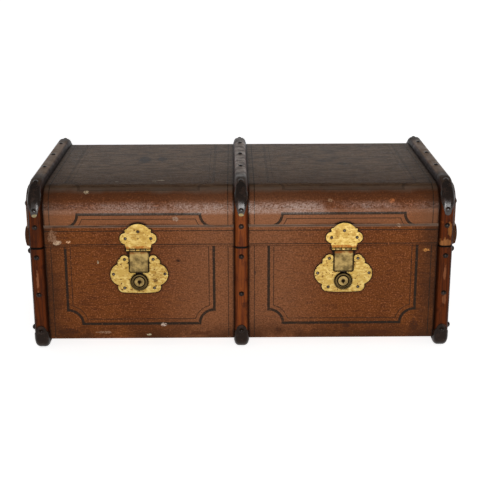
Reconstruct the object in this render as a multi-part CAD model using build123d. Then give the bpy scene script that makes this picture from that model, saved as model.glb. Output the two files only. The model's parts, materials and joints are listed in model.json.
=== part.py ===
from build123d import *
import os
from math import atan2, cos, radians, sin, sqrt, tan

# A canvas-covered cabin trunk of the early twentieth century: a deal box and lid covered in grained
# cloth, three bent-wood hoops held by iron clips and domed nails, two stamped brass hasp locks, two
# butt hinges at the back and a leather strap handle on each end.
#
# Frame: millimetres, +Z up, X along the front, the front faces -Y. The origin is the middle of the
# footprint, on the surface that the trunk stands on.

# ---------------------------------------------------------------- driving dimensions
BASE_WIDTH = 912.0            # over the base's covering, left to right (36 inches)
DEPTH = 488.0                 # over the covering, front to back
BASE_HEIGHT = 216.5           # base, from its underside to the seam
LID_HEIGHT = 126.4            # lid, from the seam to its flat top
LID_OVERHANG = 4.0            # how far each end of the lid stands past the base
SEAM_GAP = 0.6                # daylight between base and lid when shut
WALL = 12.0                   # deal boards
COVER = 1.5                   # covering cloth with its glue
LINING = 0.8                  # lining paper on card
LID_BEND = 47.0               # outer radius of the lid's front and back top edges
BASE_BEND = 7.0               # outer radius of the base's lower edges
END_ROUND = 4.0               # outer radius along the edges of the end boards
CUT_OVER = 1.0                # how far a cutter runs past the face that it opens

HOOP_WIDTH = 32.0             # at the wall
HOOP_INSET = 0.0              # the outer hoops are this far in from the ends of the base
HOOP_CROWN = 23.0             # across the crown, before its corners are rounded
HOOP_THICKNESS = 15.5         # how far a hoop stands off the wall
HOOP_EDGE = 2.5               # height of the square edge where the hoop meets the wall
HOOP_SHOULDER = 4.0           # rounding above that edge
HOOP_ROUND = 9.5              # rounding of the crown's corners
HOOP_BACK_GAP = 15.0          # each hoop stops this far from the seam at the back
HOOP_BEVEL = 6.0              # bevel on the crown of those ends
CLIP_THICKNESS = 1.5          # iron clips, pressed over the hoops at the bends
CLIP_HEM = 4.5                # their side edges stand off the wall
CLIP_FIT = 0.05               # between a clip and its hoop
CLIP_END = (11.0, 24.0)       # a clip's rounded end: radius at the tip, and length of its taper
LID_CLIP_END = (6.8, 45.0)    # the slimmer lower end of a lid clip
LID_CLIP_DROP = 57.0          # from the lid's top down to a clip's lower end
LID_CLIP_REACH = 17.0         # from the wall back to a clip's upper end
BASE_CLIP_RISE = 38.5         # from the underside up to a clip's upper end
BASE_CLIP_REACH = 38.0        # from the wall back to a clip's end under the base

NAIL_RADIUS = 5.8             # domed nails in the hoops
NAIL_HEIGHT = 3.0
BASE_NAIL_DEPTHS = [20.5, 105.5]        # below the seam
BASE_CLIP_NAIL = 25.0                   # above the underside
LID_NAIL_RISE = 46.5                    # above the lid's lower edge
LID_CLIP_NAIL = 44.0                    # below the lid's top
LID_TOP_NAILS = [0.295, 0.55, 0.797]     # along the top, as shares of the depth from the front
LID_BEND_NAIL = 69.0                    # degrees round the bend from the wall, above the clip
STUD_RADIUS = 8.0             # round iron tabs on the end boards, beside the outer hoops
STUD_THICKNESS = 1.2
STUD_INSET = 16.0             # behind the front or the back wall
STUD_DROP = 14.0              # upper studs of the base, below the seam
LID_STUD_DROP = 34.0          # studs of the lid, below its top
BUFFER_HEIGHT = 7.0           # round knob on the base's tabs; the lid's have a nail head

RIM_HEIGHT = 43.0             # edging band round the lid
RIM_THICKNESS = 2.5           # on the front and back
RIM_END_THICKNESS = 6.0       # on the ends, at the middle of their bowed face
RIM_END_EDGE = 3.0            # along the upper and lower edges of those
RIM_END_ROUND = 1.2           # along those edges
RIM_GAP = 0.3                 # between the band and what interrupts it

LOCK_SHIFT = 2.0              # each lock is this far outside the middle of its bay
LOCK_DROP = 63.5              # middle of the lock plate below the seam
PLATE_THICKNESS = 1.5
SIDE_BULGE = (37.1, -1.3, 25.4)         # lock plate outline: across, up, radius, from its middle
SHOULDER = (38.0, 27.0, 8.2)
TOP_LOBE = (31.0, 33.0, 9.5)
FOOT_LOBE = (34.5, -30.0, 12.0)
PLATE_FOOT_CROWN = 1.5                  # how far the lower edge bows down
PLATE_NAILS = [(31.0, 33.5), (56.0, 0.0), (32.5, -32.0)]
SMALL_NAIL_RADIUS = 2.4
SMALL_NAIL_HEIGHT = 1.1

HASP_WIDTH = 42.6
HASP_THICKNESS = 1.8
HASP_FOOT = 4.0               # lower edge of the hasp above the plate's middle
HASP_CORNER = 4.0
HASP_CLEARANCE = 1.2          # round the hasp in the plate's cut-out
HASP_STAND = 0.6              # between the hasp and the lock case
HASP_DISH_RADIUS = 17.0       # shallow dish pressed in the hasp's face
HASP_DISH_DEPTH = 0.6
HASP_AXIS_RISE = 55.5         # hinge of the hasp above the plate's middle
HASP_KNUCKLE_RADIUS = 2.5
HASP_PIN_RADIUS = 1.2
PIN_FIT = 0.05                # radial play of every pin and plug
KNUCKLE_GAP = 0.3             # end play between knuckles
LEAF_ROOM = 0.5               # between a leaf's edge and the other leaf's knuckles
HASP_KNUCKLES = [-26.0, -18.5, -6.0, 4.0, 16.0, 26.0]   # ends of the five knuckles, along X
CREST_DOME = (0.0, 28.7, 29.9)          # upper plate outline, from the hasp's hinge
CREST_EAR = (25.4, 43.7, 3.0)
CREST_LOBE = (27.0, 25.9, 12.5)
CREST_WAIST = [(29.0, 14.5), (26.0, 3.2)]
CREST_NAILS = [(0.0, 41.5), (27.5, 25.9)]

CASE_WIDTH = 44.0             # steel lock case let into the front board
CASE_FOOT = 21.0              # its lower end below the key's axis
CASE_BACKING = 2.0            # board left behind the case
CASE_PLAY = 0.2               # between the case and its mortise
CASE_FLOOR = 1.5              # steel behind the staple's channel
BARREL_DROP = 17.8            # key's axis below the plate's middle
BARREL_RADIUS = 18.3          # dished ring round the key plug
BARREL_SEAT = 15.3            # radius of the ring's foot, in the plate's hole
BARREL_HEIGHT = 3.4           # above the plate
BARREL_GROOVE = 1.1           # floor of the ring's groove above the plate
BARREL_LIP = 2.4              # height of the collar inside the groove
BARREL_CHAMFER = 1.0          # on the rim and the collar
PLUG_RADIUS = 10.8
PLUG_RISE = 1.7               # face of the plug above the plate
PLUG_GAP = 0.3                # round the plug's face
PLUG_BODY_RADIUS = 8.0
KEYHOLE_RADIUS = 2.5
KEYHOLE_SLOT = (2.2, 6.2)     # width and reach of the slot below
KEYHOLE_DEPTH = 3.6
BOLT_TRAVEL = 8.0
BOLT_THICKNESS = 3.0
BOLT_INSET = 4.5              # middle of the bolt behind the case's face
BOLT_BAR = 7.0                # width of the bolt's upright bar
BOLT_FINGER = 5.0             # height of the finger that passes through the staple
BOLT_PLAY = 0.7               # round the moving bolt
CAM_PIN_RADIUS = 1.5
CAM_PLAY = 0.4                # between the cam pin and the bolt's slot
CAM_LIP = 2.0                 # metal round the slot
STAPLE_THICKNESS = 3.0        # across, along X
STAPLE_HEIGHT = 13.0
STAPLE_ROUND = 1.6            # on the staple's inner corners
STAPLE_RISE = 22.5            # middle of the staple above the plate's middle
STAPLE_PLAY = 1.1             # on each side of the staple in its channel
STAPLE_SWING = 3.0            # room below the staple for its swing

HINGE_SHIFT = 0.0             # each hinge is this far outside the middle of its bay
HINGE_WIDTH = 64.0
HINGE_LEAF = 34.0             # height of each leaf past the knuckle
HINGE_LEAF_THICKNESS = 1.8
HINGE_CORNER = 7.0            # rounded outer corners of a leaf
HINGE_KNUCKLE_RADIUS = 4.0
HINGE_PIN_RADIUS = 1.8
HINGE_PIN_HEAD = 2.6
HINGE_KNUCKLES = 5
HINGE_STAND = 0.2             # between the knuckle and the back wall

HANDLE_RISE = 128.0           # middle of the strap above the underside
HANDLE_SPAN = 230.0           # end to end of the strap
HANDLE_BOW = 27.0             # how far the grip stands out from its ends
HANDLE_SLOPE = 36.0           # length, along Y, of the run from a cap out to the grip
HANDLE_STRAP_HEIGHT = 27.0
HANDLE_STRAP_THICKNESS = 8.0
HANDLE_STRAP_ROUND = 2.6      # rounded edges of the strap
HANDLE_BEND = 42.0            # middle radius of the strap's bends
CAP_LENGTH = 34.0
CAP_WALL = 2.0
CAP_FLANGE = 7.0              # nailing flange above and below the cap
CAP_CORNER = 3.5              # rounded corners of the flange
CAP_PLAY = 0.3

# ---------------------------------------------------------------- derived places
FOOT = HOOP_THICKNESS + CLIP_FIT + CLIP_THICKNESS   # underside of the base: it stands on its clips
SEAM = FOOT + BASE_HEIGHT
LID_LOW = SEAM + SEAM_GAP
LID_TOP = LID_LOW + LID_HEIGHT
LID_WIDTH = BASE_WIDTH + 2 * LID_OVERHANG
WALL_Y = DEPTH / 2                                   # face of the covering, front (-) and back (+)
CREST = WALL_Y + HOOP_THICKNESS                      # crown of a hoop, front (-) and back (+)
HOOP_SPACING = BASE_WIDTH / 2 - HOOP_INSET - HOOP_WIDTH / 2     # from the middle hoop to an outer one
HOOP_XS = [-HOOP_SPACING, 0.0, HOOP_SPACING]

LOCK_X = HOOP_SPACING / 2 + LOCK_SHIFT
LOCK_XS = {"left": -LOCK_X, "right": LOCK_X}
PLATE_Z = SEAM - LOCK_DROP
HASP_AXIS_Z = PLATE_Z + HASP_AXIS_RISE
HASP_AXIS_Y = -(WALL_Y + RIM_THICKNESS + PLATE_THICKNESS / 2)
KEY_Z = PLATE_Z - BARREL_DROP
STAPLE_Z = PLATE_Z + STAPLE_RISE
CASE_DEPTH = COVER + WALL - CASE_BACKING
STAPLE_DEPTH = CASE_DEPTH - CASE_FLOOR - BOLT_PLAY   # reach of the staple behind the case's face
CHANNEL_HALF = STAPLE_THICKNESS / 2 + STAPLE_PLAY
CAM_THROW = BOLT_TRAVEL / sqrt(2)                    # the pin moves from +45 to -45 degrees
CAM_OFFSET = BOLT_TRAVEL / 2
HINGE_X = HOOP_SPACING / 2 + HINGE_SHIFT
HINGE_AXIS_Y = WALL_Y + HINGE_STAND + HINGE_KNUCKLE_RADIUS
HINGE_AXIS_Z = SEAM + SEAM_GAP / 2
HANDLE_Z = FOOT + HANDLE_RISE


# ---------------------------------------------------------------- small helpers
def block(x0, x1, y0, y1, z0, z1):
    """A box given by its two corners."""
    middle = Pos((x0 + x1) / 2, (y0 + y1) / 2, (z0 + z1) / 2)
    return middle * Box(abs(x1 - x0), abs(y1 - y0), abs(z1 - z0))


def rod(radius, start, direction, length):
    """A round bar from a point, along a direction."""
    return extrude(Plane(start, z_dir=direction) * Circle(radius), length)


def dome(radius, height):
    """A domed nail head, its flat back on Z = 0."""
    ball = (radius**2 + height**2) / (2 * height)
    side = Vector(ball * sin(0.5 * radius / ball), height - ball + ball * cos(0.5 * radius / ball))
    outline = [
        Line((0, 0), (radius, 0)),
        ThreePointArc((radius, 0), side, (0, height)),
        Line((0, height), (0, 0)),
    ]
    return revolve(Plane.XZ * make_face(outline), Axis.Z)


def set_on(solid, point, normal):
    """Stand a solid that was made on Z = 0 on a surface, at a point and along its normal."""
    return Plane(point, z_dir=normal).location * solid


def mirrored_front(solids):
    """The same solids at the back of the trunk."""
    return [mirror(solid, about=Plane.XZ) for solid in solids]


def save(node, *groups):
    """Write one node: every solid of the groups given."""
    solids = [solid for group in groups for shape in group for solid in shape.solids()]
    export_step(Compound(children=solids), f"parts/{node}.step")


# ---------------------------------------------------------------- box, covering and lining
def bent_block(width, low, high, inset, bend, bent_edge):
    """A block as deep as the trunk less the inset all round, with two long edges bent.

    bent_edge is "low" for the base and "high" for the lid. The other, open side keeps square
    edges, and the edges of the end boards are eased.
    """
    centre_z = (low + high) / 2
    sheet = Plane.YZ * Pos(0, centre_z) * Rectangle(DEPTH - 2 * inset, high - low)
    rows = sheet.vertices().group_by(Axis.Z)
    if bend > 0:
        sheet = fillet(rows[0] if bent_edge == "low" else rows[-1], bend)
    solid = extrude(sheet, width / 2 - inset, both=True)
    ease = END_ROUND - inset
    if ease <= 0:
        return solid
    open_z = high if bent_edge == "low" else low
    ends = solid.faces().sort_by(Axis.X)
    edges = [e for face in (ends[0], ends[-1]) for e in face.edges() if abs(e.center().Z - open_z) > 0.01]
    return fillet(edges, ease)


def base_block(inset, reach=0.0):
    """The base's outer form, shrunk by the inset; reach carries it up past the seam."""
    return bent_block(BASE_WIDTH, FOOT + inset, SEAM + reach, inset, BASE_BEND - inset, "low")


def lid_block(inset, reach=0.0):
    """The lid's outer form, shrunk by the inset; reach carries it down past the seam."""
    return bent_block(LID_WIDTH, LID_LOW - reach, LID_TOP - inset, inset, LID_BEND - inset, "high")


def shells(form):
    """Covering, boards and lining of the base or the lid, from outside to inside."""
    cloth = form(0.0) - form(COVER, CUT_OVER)
    boards = form(COVER) - form(COVER + WALL, CUT_OVER)
    paper = form(COVER + WALL) - form(COVER + WALL + LINING, CUT_OVER)
    return cloth, boards, paper


# ---------------------------------------------------------------- hoops and clips
def hoop_section():
    """Cross-section of a hoop: a flattened half-round with its back on the wall at y = 0."""
    half, crown = HOOP_WIDTH / 2, HOOP_CROWN / 2
    corners = [(-half, 0), (half, 0), (half, HOOP_EDGE), (crown, HOOP_THICKNESS)]
    corners += [(-crown, HOOP_THICKNESS), (-half, HOOP_EDGE)]
    face = make_face(Polyline(*corners, close=True))
    face = fillet(face.vertices().group_by(Axis.Y)[-1], HOOP_ROUND)
    return fillet(face.vertices().group_by(Axis.Y)[1], HOOP_SHOULDER)


def clip_section():
    """Cross-section of a clip: sheet iron pressed over the hoop, almost down to the wall."""
    hoop = hoop_section()
    sheet = offset(hoop, CLIP_FIT + CLIP_THICKNESS) - offset(hoop, CLIP_FIT)
    return sheet & (Pos(0, CLIP_HEM + HOOP_WIDTH) * Rectangle(2 * HOOP_WIDTH, 2 * HOOP_WIDTH))


def swept(section, corners, bend):
    """Sweep a section along the walls, through the corners given as (y, z), at x = 0."""
    path = FilletPolyline(*[(0, y, z) for y, z in corners], radius=bend)
    start = Plane(path @ 0, x_dir=(1, 0, 0), z_dir=path % 0)
    return sweep(start * section, path=path)


def back_bevel(end_z, way):
    """What is cut off a hoop's end at the back: way is +1 where the end faces up."""
    corner = [
        (CREST + CUT_OVER, end_z + way * CUT_OVER),
        (CREST + CUT_OVER, end_z - way * (HOOP_BEVEL + CUT_OVER)),
        (CREST - HOOP_BEVEL - CUT_OVER, end_z + way * CUT_OVER),
    ]
    return extrude(Plane.YZ * make_face(Polyline(*corner, close=True)), HOOP_WIDTH, both=True)


def base_hoop():
    """Down the front, under the base and up the back."""
    end = SEAM - HOOP_BACK_GAP
    corners = [(-WALL_Y, SEAM), (-WALL_Y, FOOT), (WALL_Y, FOOT), (WALL_Y, end)]
    return swept(hoop_section(), corners, BASE_BEND) - back_bevel(end, 1)


def lid_hoop():
    """Up the back, over the lid and down the front."""
    end = LID_LOW + HOOP_BACK_GAP
    corners = [(WALL_Y, end), (WALL_Y, LID_TOP), (-WALL_Y, LID_TOP), (-WALL_Y, LID_LOW)]
    return swept(hoop_section(), corners, LID_BEND) - back_bevel(end, -1)


def tongue(tip, toward, plane, end):
    """A long cutter with a rounded tip that widens past a clip's sides: it keeps what it covers."""
    radius, taper = end
    side = HOOP_WIDTH / 2 + 2 * CLIP_THICKNESS
    centre, shoulder, far = (tip + toward * reach for reach in (radius, taper, DEPTH))
    corners = [(radius, centre), (side, shoulder), (side, far)]
    corners += [(-x, y) for x, y in reversed(corners)]
    outline = make_face(Polyline(*corners, close=True)) + Pos(0, centre) * Circle(radius)
    return extrude(plane * outline, 2 * DEPTH, both=True)


def base_clip():
    """Round a hoop's lower front bend, with both ends rounded."""
    corners = [(-WALL_Y, FOOT + BASE_CLIP_RISE), (-WALL_Y, FOOT), (-WALL_Y + BASE_CLIP_REACH, FOOT)]
    strip = swept(clip_section(), corners, BASE_BEND)
    front_end = tongue(FOOT + BASE_CLIP_RISE, -1, Plane.XZ, CLIP_END)
    under_end = tongue(-WALL_Y + BASE_CLIP_REACH, -1, Plane.XY, CLIP_END)
    return strip & front_end & under_end


def lid_clip():
    """Round a hoop's upper front bend, with both ends rounded."""
    top_end = -WALL_Y + LID_CLIP_REACH
    low_end = LID_TOP - LID_CLIP_DROP
    corners = [(-WALL_Y + LID_BEND + HOOP_WIDTH, LID_TOP), (-WALL_Y, LID_TOP), (-WALL_Y, low_end)]
    strip = swept(clip_section(), corners, LID_BEND)
    return strip & tongue(low_end, 1, Plane.XZ, LID_CLIP_END) & tongue(top_end, -1, Plane.XY, CLIP_END)


# ---------------------------------------------------------------- nails in the hoops
def base_nails(x):
    """Nails of one hoop on the front of the base, the lowest one in its clip."""
    head = dome(NAIL_RADIUS, NAIL_HEIGHT)
    nails = [set_on(head, (x, -CREST, SEAM - drop), (0, -1, 0)) for drop in BASE_NAIL_DEPTHS]
    clip_y = -(CREST + CLIP_FIT + CLIP_THICKNESS)
    nails.append(set_on(head, (x, clip_y, FOOT + BASE_CLIP_NAIL), (0, -1, 0)))
    return nails


def lid_front_nails(x):
    """Nails of one hoop on the lid's front: one in the wood, one in the clip, one above it."""
    head = dome(NAIL_RADIUS, NAIL_HEIGHT)
    clip_y = -(CREST + CLIP_FIT + CLIP_THICKNESS)
    turn = radians(LID_BEND_NAIL)
    normal = (0, -cos(turn), sin(turn))
    reach = LID_BEND + HOOP_THICKNESS
    bend = (x, -WALL_Y + LID_BEND - reach * cos(turn), LID_TOP - LID_BEND + reach * sin(turn))
    return [
        set_on(head, (x, -CREST, LID_LOW + LID_NAIL_RISE), (0, -1, 0)),
        set_on(head, (x, clip_y, LID_TOP - LID_CLIP_NAIL), (0, -1, 0)),
        set_on(head, bend, normal),
    ]


def lid_top_nails(x):
    """Nails along the top of one hoop."""
    head = dome(NAIL_RADIUS, NAIL_HEIGHT)
    top = LID_TOP + HOOP_THICKNESS
    return [set_on(head, (x, -WALL_Y + share * DEPTH, top), (0, 0, 1)) for share in LID_TOP_NAILS]


def end_studs(half_width, heights, head):
    """Round tabs on both end boards, near the front and the back, each with a head in its middle."""
    stud = extrude(Circle(STUD_RADIUS), STUD_THICKNESS) + Pos(0, 0, STUD_THICKNESS) * head
    studs = []
    for side in (-1, 1):
        for y in (-WALL_Y + STUD_INSET, WALL_Y - STUD_INSET):
            studs += [set_on(stud, (side * half_width, y, z), (side, 0, 0)) for z in heights]
    return studs


# ---------------------------------------------------------------- edging band of the lid
def rim_strip(side):
    """The band on the front (-1) or back (+1): one length in each bay between the hoops."""
    inner = HOOP_WIDTH / 2 + RIM_GAP
    outer = HOOP_SPACING - HOOP_WIDTH / 2 - RIM_GAP
    y0, y1 = side * WALL_Y, side * (WALL_Y + RIM_THICKNESS)
    return [block(s * inner, s * outer, y0, y1, LID_LOW, LID_LOW + RIM_HEIGHT) for s in (-1, 1)]


def rim_end(side):
    """The thicker band on one end of the lid, padded so that its face bows out."""
    wall, edge, bow = (side * (LID_WIDTH / 2 + out) for out in (0, RIM_END_EDGE, RIM_END_THICKNESS))
    low, high = LID_LOW, LID_LOW + RIM_HEIGHT
    outline = Polyline((edge, high), (wall, high), (wall, low), (edge, low))
    outline += ThreePointArc((edge, low), (bow, (low + high) / 2), (edge, high))
    strip = extrude(Plane.XZ * make_face(outline), WALL_Y - END_ROUND, both=True)
    edges = strip.edges().filter_by(lambda edge: abs(edge.center().X) > LID_WIDTH / 2 + RIM_END_ROUND)
    return fillet(edges, RIM_END_ROUND)


# ---------------------------------------------------------------- locks
def pair_of(lobe):
    """Two round lobes of a plate's outline, left and right."""
    across, up, radius = lobe
    return Pos(-across, up) * Circle(radius) + Pos(across, up) * Circle(radius)


def lock_plate():
    """Scalloped lower plate, cut out from its top for the hasp and round the key barrel."""
    foot_x, foot_z, foot_radius = FOOT_LOBE
    bulge_x, bulge_z, bulge_radius = SIDE_BULGE
    low = foot_z - foot_radius
    core = [
        ThreePointArc((-foot_x, low), (0, low - PLATE_FOOT_CROWN), (foot_x, low)),
        Line((foot_x, low), (bulge_x, bulge_z + bulge_radius)),
        Line((bulge_x, bulge_z + bulge_radius), (-bulge_x, bulge_z + bulge_radius)),
        Line((-bulge_x, bulge_z + bulge_radius), (-foot_x, low)),
    ]
    outline = make_face(core) + pair_of(SIDE_BULGE) + pair_of(SHOULDER) + pair_of(TOP_LOBE)
    outline += pair_of(FOOT_LOBE)
    slot = HASP_WIDTH + 2 * HASP_CLEARANCE
    slot_foot = HASP_FOOT - HASP_CLEARANCE
    bay = Rectangle(slot, 2 * slot)
    bay = fillet(bay.vertices().group_by(Axis.Y)[0], HASP_CORNER)
    throat = Pos(0, slot_foot - BARREL_SEAT / 2) * Rectangle(BARREL_SEAT, BARREL_SEAT + CUT_OVER)
    outline -= Pos(0, slot_foot + slot) * bay
    outline -= throat + Pos(0, -BARREL_DROP) * Circle(BARREL_SEAT)
    plate = extrude(Plane.XZ * outline, PLATE_THICKNESS)
    return Pos(0, -WALL_Y, PLATE_Z) * plate


def crest_plate():
    """Upper plate on the lid, with its three knuckles."""
    waist = [(-x, z) for x, z in CREST_WAIST] + [(x, z) for x, z in reversed(CREST_WAIST)]
    dome_x, dome_z, dome_radius = CREST_DOME
    outline = Pos(dome_x, dome_z) * Circle(dome_radius) + make_face(Polyline(*waist, close=True))
    outline += pair_of(CREST_EAR) + pair_of(CREST_LOBE)
    trim = CREST_WAIST[-1][1]
    outline -= Pos(0, trim - dome_radius) * Rectangle(4 * dome_radius, 2 * dome_radius)
    sheet = extrude(Plane.XZ * outline, PLATE_THICKNESS)
    plate = Pos(0, HASP_AXIS_Y + PLATE_THICKNESS / 2, HASP_AXIS_Z) * sheet
    for x0, x1 in knuckle_spans(HASP_KNUCKLES, 0):
        plate += rod(HASP_KNUCKLE_RADIUS, (x0, HASP_AXIS_Y, HASP_AXIS_Z), (1, 0, 0), x1 - x0)
        half = PLATE_THICKNESS / 2
        plate += block(x0, x1, HASP_AXIS_Y - half, HASP_AXIS_Y + half, HASP_AXIS_Z, HASP_AXIS_Z + trim)
    return plate - hasp_pin(HASP_PIN_RADIUS + PIN_FIT)


def knuckle_spans(ends, first):
    """The knuckles of one leaf: every second one, shortened by the end play."""
    spans = list(zip(ends[:-1], ends[1:]))[first::2]
    return [(x0 + KNUCKLE_GAP / 2, x1 - KNUCKLE_GAP / 2) for x0, x1 in spans]


def hasp_pin(radius=HASP_PIN_RADIUS):
    """The wire that the hasp turns on."""
    x0, x1 = HASP_KNUCKLES[0], HASP_KNUCKLES[-1]
    return rod(radius, (x0, HASP_AXIS_Y, HASP_AXIS_Z), (1, 0, 0), x1 - x0)


def hasp():
    """The flap: knuckles, a cranked neck and a flat with rounded lower corners and a dish."""
    back = -(WALL_Y + HASP_STAND)
    face = back - HASP_THICKNESS
    axis_back = HASP_AXIS_Y + HASP_THICKNESS / 2
    axis_face = HASP_AXIS_Y - HASP_THICKNESS / 2
    neck_top = HASP_AXIS_Z - HASP_KNUCKLE_RADIUS - LEAF_ROOM
    neck_foot = neck_top - 2 * (back - axis_back) - HASP_THICKNESS
    foot = PLATE_Z + HASP_FOOT
    side = [(axis_face, neck_top), (axis_back, neck_top), (back, neck_foot), (back, foot)]
    side += [(face, foot), (face, neck_foot)]
    flap = extrude(Plane.YZ * make_face(Polyline(*side, close=True)), HASP_WIDTH / 2, both=True)
    corners = flap.edges().filter_by(Axis.Y).group_by(Axis.Z)[0]
    flap = fillet(corners, HASP_CORNER)
    ball = (HASP_DISH_RADIUS**2 + HASP_DISH_DEPTH**2) / (2 * HASP_DISH_DEPTH)
    dish_z = (foot + neck_foot) / 2
    flap -= Pos(0, face + HASP_DISH_DEPTH - ball, dish_z) * Sphere(ball)
    for x0, x1 in knuckle_spans(HASP_KNUCKLES, 1):
        flap += rod(HASP_KNUCKLE_RADIUS, (x0, HASP_AXIS_Y, HASP_AXIS_Z), (1, 0, 0), x1 - x0)
        flap += block(x0, x1, axis_face, axis_back, neck_top, HASP_AXIS_Z)
    return flap - hasp_pin(HASP_PIN_RADIUS + PIN_FIT)


def staple():
    """The lug behind the hasp, with the eye that the bolt passes through."""
    back = -WALL_Y + STAPLE_DEPTH
    half = STAPLE_THICKNESS / 2
    low, high = STAPLE_Z - STAPLE_HEIGHT / 2, STAPLE_Z + STAPLE_HEIGHT / 2
    lug = block(-half, half, -(WALL_Y + HASP_STAND), back, low, high)
    lug = fillet(lug.edges().filter_by(Axis.X).group_by(Axis.Y)[-1], STAPLE_ROUND)
    middle = -WALL_Y + BOLT_INSET
    eye_y = BOLT_THICKNESS / 2 + BOLT_PLAY
    eye_z = BOLT_FINGER / 2 + BOLT_PLAY
    return lug - block(-half, half, middle - eye_y, middle + eye_y, STAPLE_Z - eye_z, STAPLE_Z + eye_z)


def bolt_blocks(play):
    """The bolt's bar, finger and cam arm at rest, grown by the play given."""
    tip = CHANNEL_HALF + BOLT_PLAY
    bar = CHANNEL_HALF + BOLT_TRAVEL + BOLT_PLAY
    arm_low = KEY_Z + CAM_OFFSET - CAM_PIN_RADIUS - CAM_PLAY - CAM_LIP
    arm_high = KEY_Z + CAM_THROW + CAM_PIN_RADIUS + CAM_PLAY + CAM_LIP
    arm_end = CAM_OFFSET - CAM_PIN_RADIUS - CAM_PLAY - CAM_LIP
    finger = (STAPLE_Z - BOLT_FINGER / 2, STAPLE_Z + BOLT_FINGER / 2)
    spans = [
        (bar, bar + BOLT_BAR, arm_low, finger[1]),
        (tip, bar + BOLT_BAR, finger[0], finger[1]),
        (arm_end, bar + BOLT_BAR, arm_low, arm_high),
    ]
    return [(x0 - play, x1 + play, z0 - play, z1 + play) for x0, x1, z0, z1 in spans]


def bolt():
    """Flat bolt with a finger for the staple and a slotted arm for the key plug's cam."""
    middle = -WALL_Y + BOLT_INSET
    y0, y1 = middle - BOLT_THICKNESS / 2, middle + BOLT_THICKNESS / 2
    solid = None
    for x0, x1, z0, z1 in bolt_blocks(0):
        piece = block(x0, x1, y0, y1, z0, z1)
        solid = piece if solid is None else solid + piece
    half = CAM_PIN_RADIUS + CAM_PLAY
    low, high = KEY_Z + CAM_OFFSET - half, KEY_Z + CAM_THROW + half
    return solid - block(CAM_OFFSET - half, CAM_OFFSET + half, y0, y1, low, high)


def lock_case():
    """Steel case in the front board: the staple's channel, the bolt's pocket and the plug's bore."""
    half = CASE_WIDTH / 2
    face, back = -WALL_Y, -WALL_Y + CASE_DEPTH
    case = block(-half, half, face, back, KEY_Z - CASE_FOOT, SEAM)
    channel_low = STAPLE_Z - STAPLE_HEIGHT / 2 - STAPLE_SWING
    case -= block(-CHANNEL_HALF, CHANNEL_HALF, face, back - CASE_FLOOR, channel_low, SEAM)
    middle = -WALL_Y + BOLT_INSET
    room = BOLT_THICKNESS / 2 + PIN_FIT
    for x0, x1, z0, z1 in bolt_blocks(BOLT_PLAY / 2):
        case -= block(x0 - BOLT_TRAVEL, x1, middle - room, middle + room, z0, z1)
    return case - rod(PLUG_BODY_RADIUS + PIN_FIT, (0, face, KEY_Z), (0, 1, 0), BOLT_INSET)


def lock_mortise():
    """The room cut in the covering and the front board for the case."""
    half = CASE_WIDTH / 2 + CASE_PLAY
    back = -WALL_Y + CASE_DEPTH + CASE_PLAY
    low, high = KEY_Z - CASE_FOOT - CASE_PLAY, SEAM + CUT_OVER
    return block(-half, half, -WALL_Y - CUT_OVER, back, low, high)


def barrel_ring():
    """The dished ring round the key plug: a bevelled rim, a groove and an inner collar."""
    bore = PLUG_RADIUS + PLUG_GAP
    foot = BARREL_SEAT - CASE_PLAY
    seat, chamfer = PLATE_THICKNESS, BARREL_CHAMFER
    rim, groove, lip = seat + BARREL_HEIGHT, seat + BARREL_GROOVE, seat + BARREL_LIP
    collar = (bore + foot) / 2
    outline = [
        (bore, 0), (foot, 0), (foot, seat), (BARREL_RADIUS, seat), (BARREL_RADIUS, rim - chamfer),
        (BARREL_RADIUS - chamfer, rim), (foot + chamfer, rim), (foot, groove), (collar, groove),
        (collar - chamfer / 2, lip), (bore, lip - chamfer),
    ]
    ring = revolve(Plane.XZ * make_face(Polyline(*outline, close=True)), Axis.Z)
    return set_on(ring, (0, -WALL_Y, KEY_Z), (0, -1, 0))


def key_plug():
    """The turning plug: a face with the keyhole, a body in the case and the cam pin behind."""
    face = -(WALL_Y + PLATE_THICKNESS + PLUG_RISE)
    body_end = -WALL_Y + BOLT_INSET - BOLT_THICKNESS / 2 - PIN_FIT
    plug = rod(PLUG_RADIUS, (0, face, KEY_Z), (0, 1, 0), -WALL_Y - PIN_FIT - face)
    plug += rod(PLUG_BODY_RADIUS, (0, face, KEY_Z), (0, 1, 0), body_end - face)
    slot_width, slot_reach = KEYHOLE_SLOT
    keyhole = Circle(KEYHOLE_RADIUS) + Pos(0, -slot_reach / 2) * Rectangle(slot_width, slot_reach)
    plug -= Pos(0, face + KEYHOLE_DEPTH, KEY_Z) * extrude(Plane.XZ * keyhole, KEYHOLE_DEPTH)
    pin = (CAM_OFFSET, body_end, KEY_Z + CAM_OFFSET)
    return plug + rod(CAM_PIN_RADIUS, pin, (0, 1, 0), BOLT_THICKNESS)


def plate_nails(x, places, z0, y):
    """Small round nails of a plate: each place is used left and right of its middle."""
    head = dome(SMALL_NAIL_RADIUS, SMALL_NAIL_HEIGHT)
    spots = [(s * across, up) for across, up in places for s in ((1,) if across == 0 else (-1, 1))]
    return [set_on(head, (x + across, y, z0 + up), (0, -1, 0)) for across, up in spots]


# ---------------------------------------------------------------- butt hinges at the back
def hinge_knuckle_ends():
    """Ends of the knuckles along X, equally long."""
    step = HINGE_WIDTH / HINGE_KNUCKLES
    return [-HINGE_WIDTH / 2 + i * step for i in range(HINGE_KNUCKLES + 1)]


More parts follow.
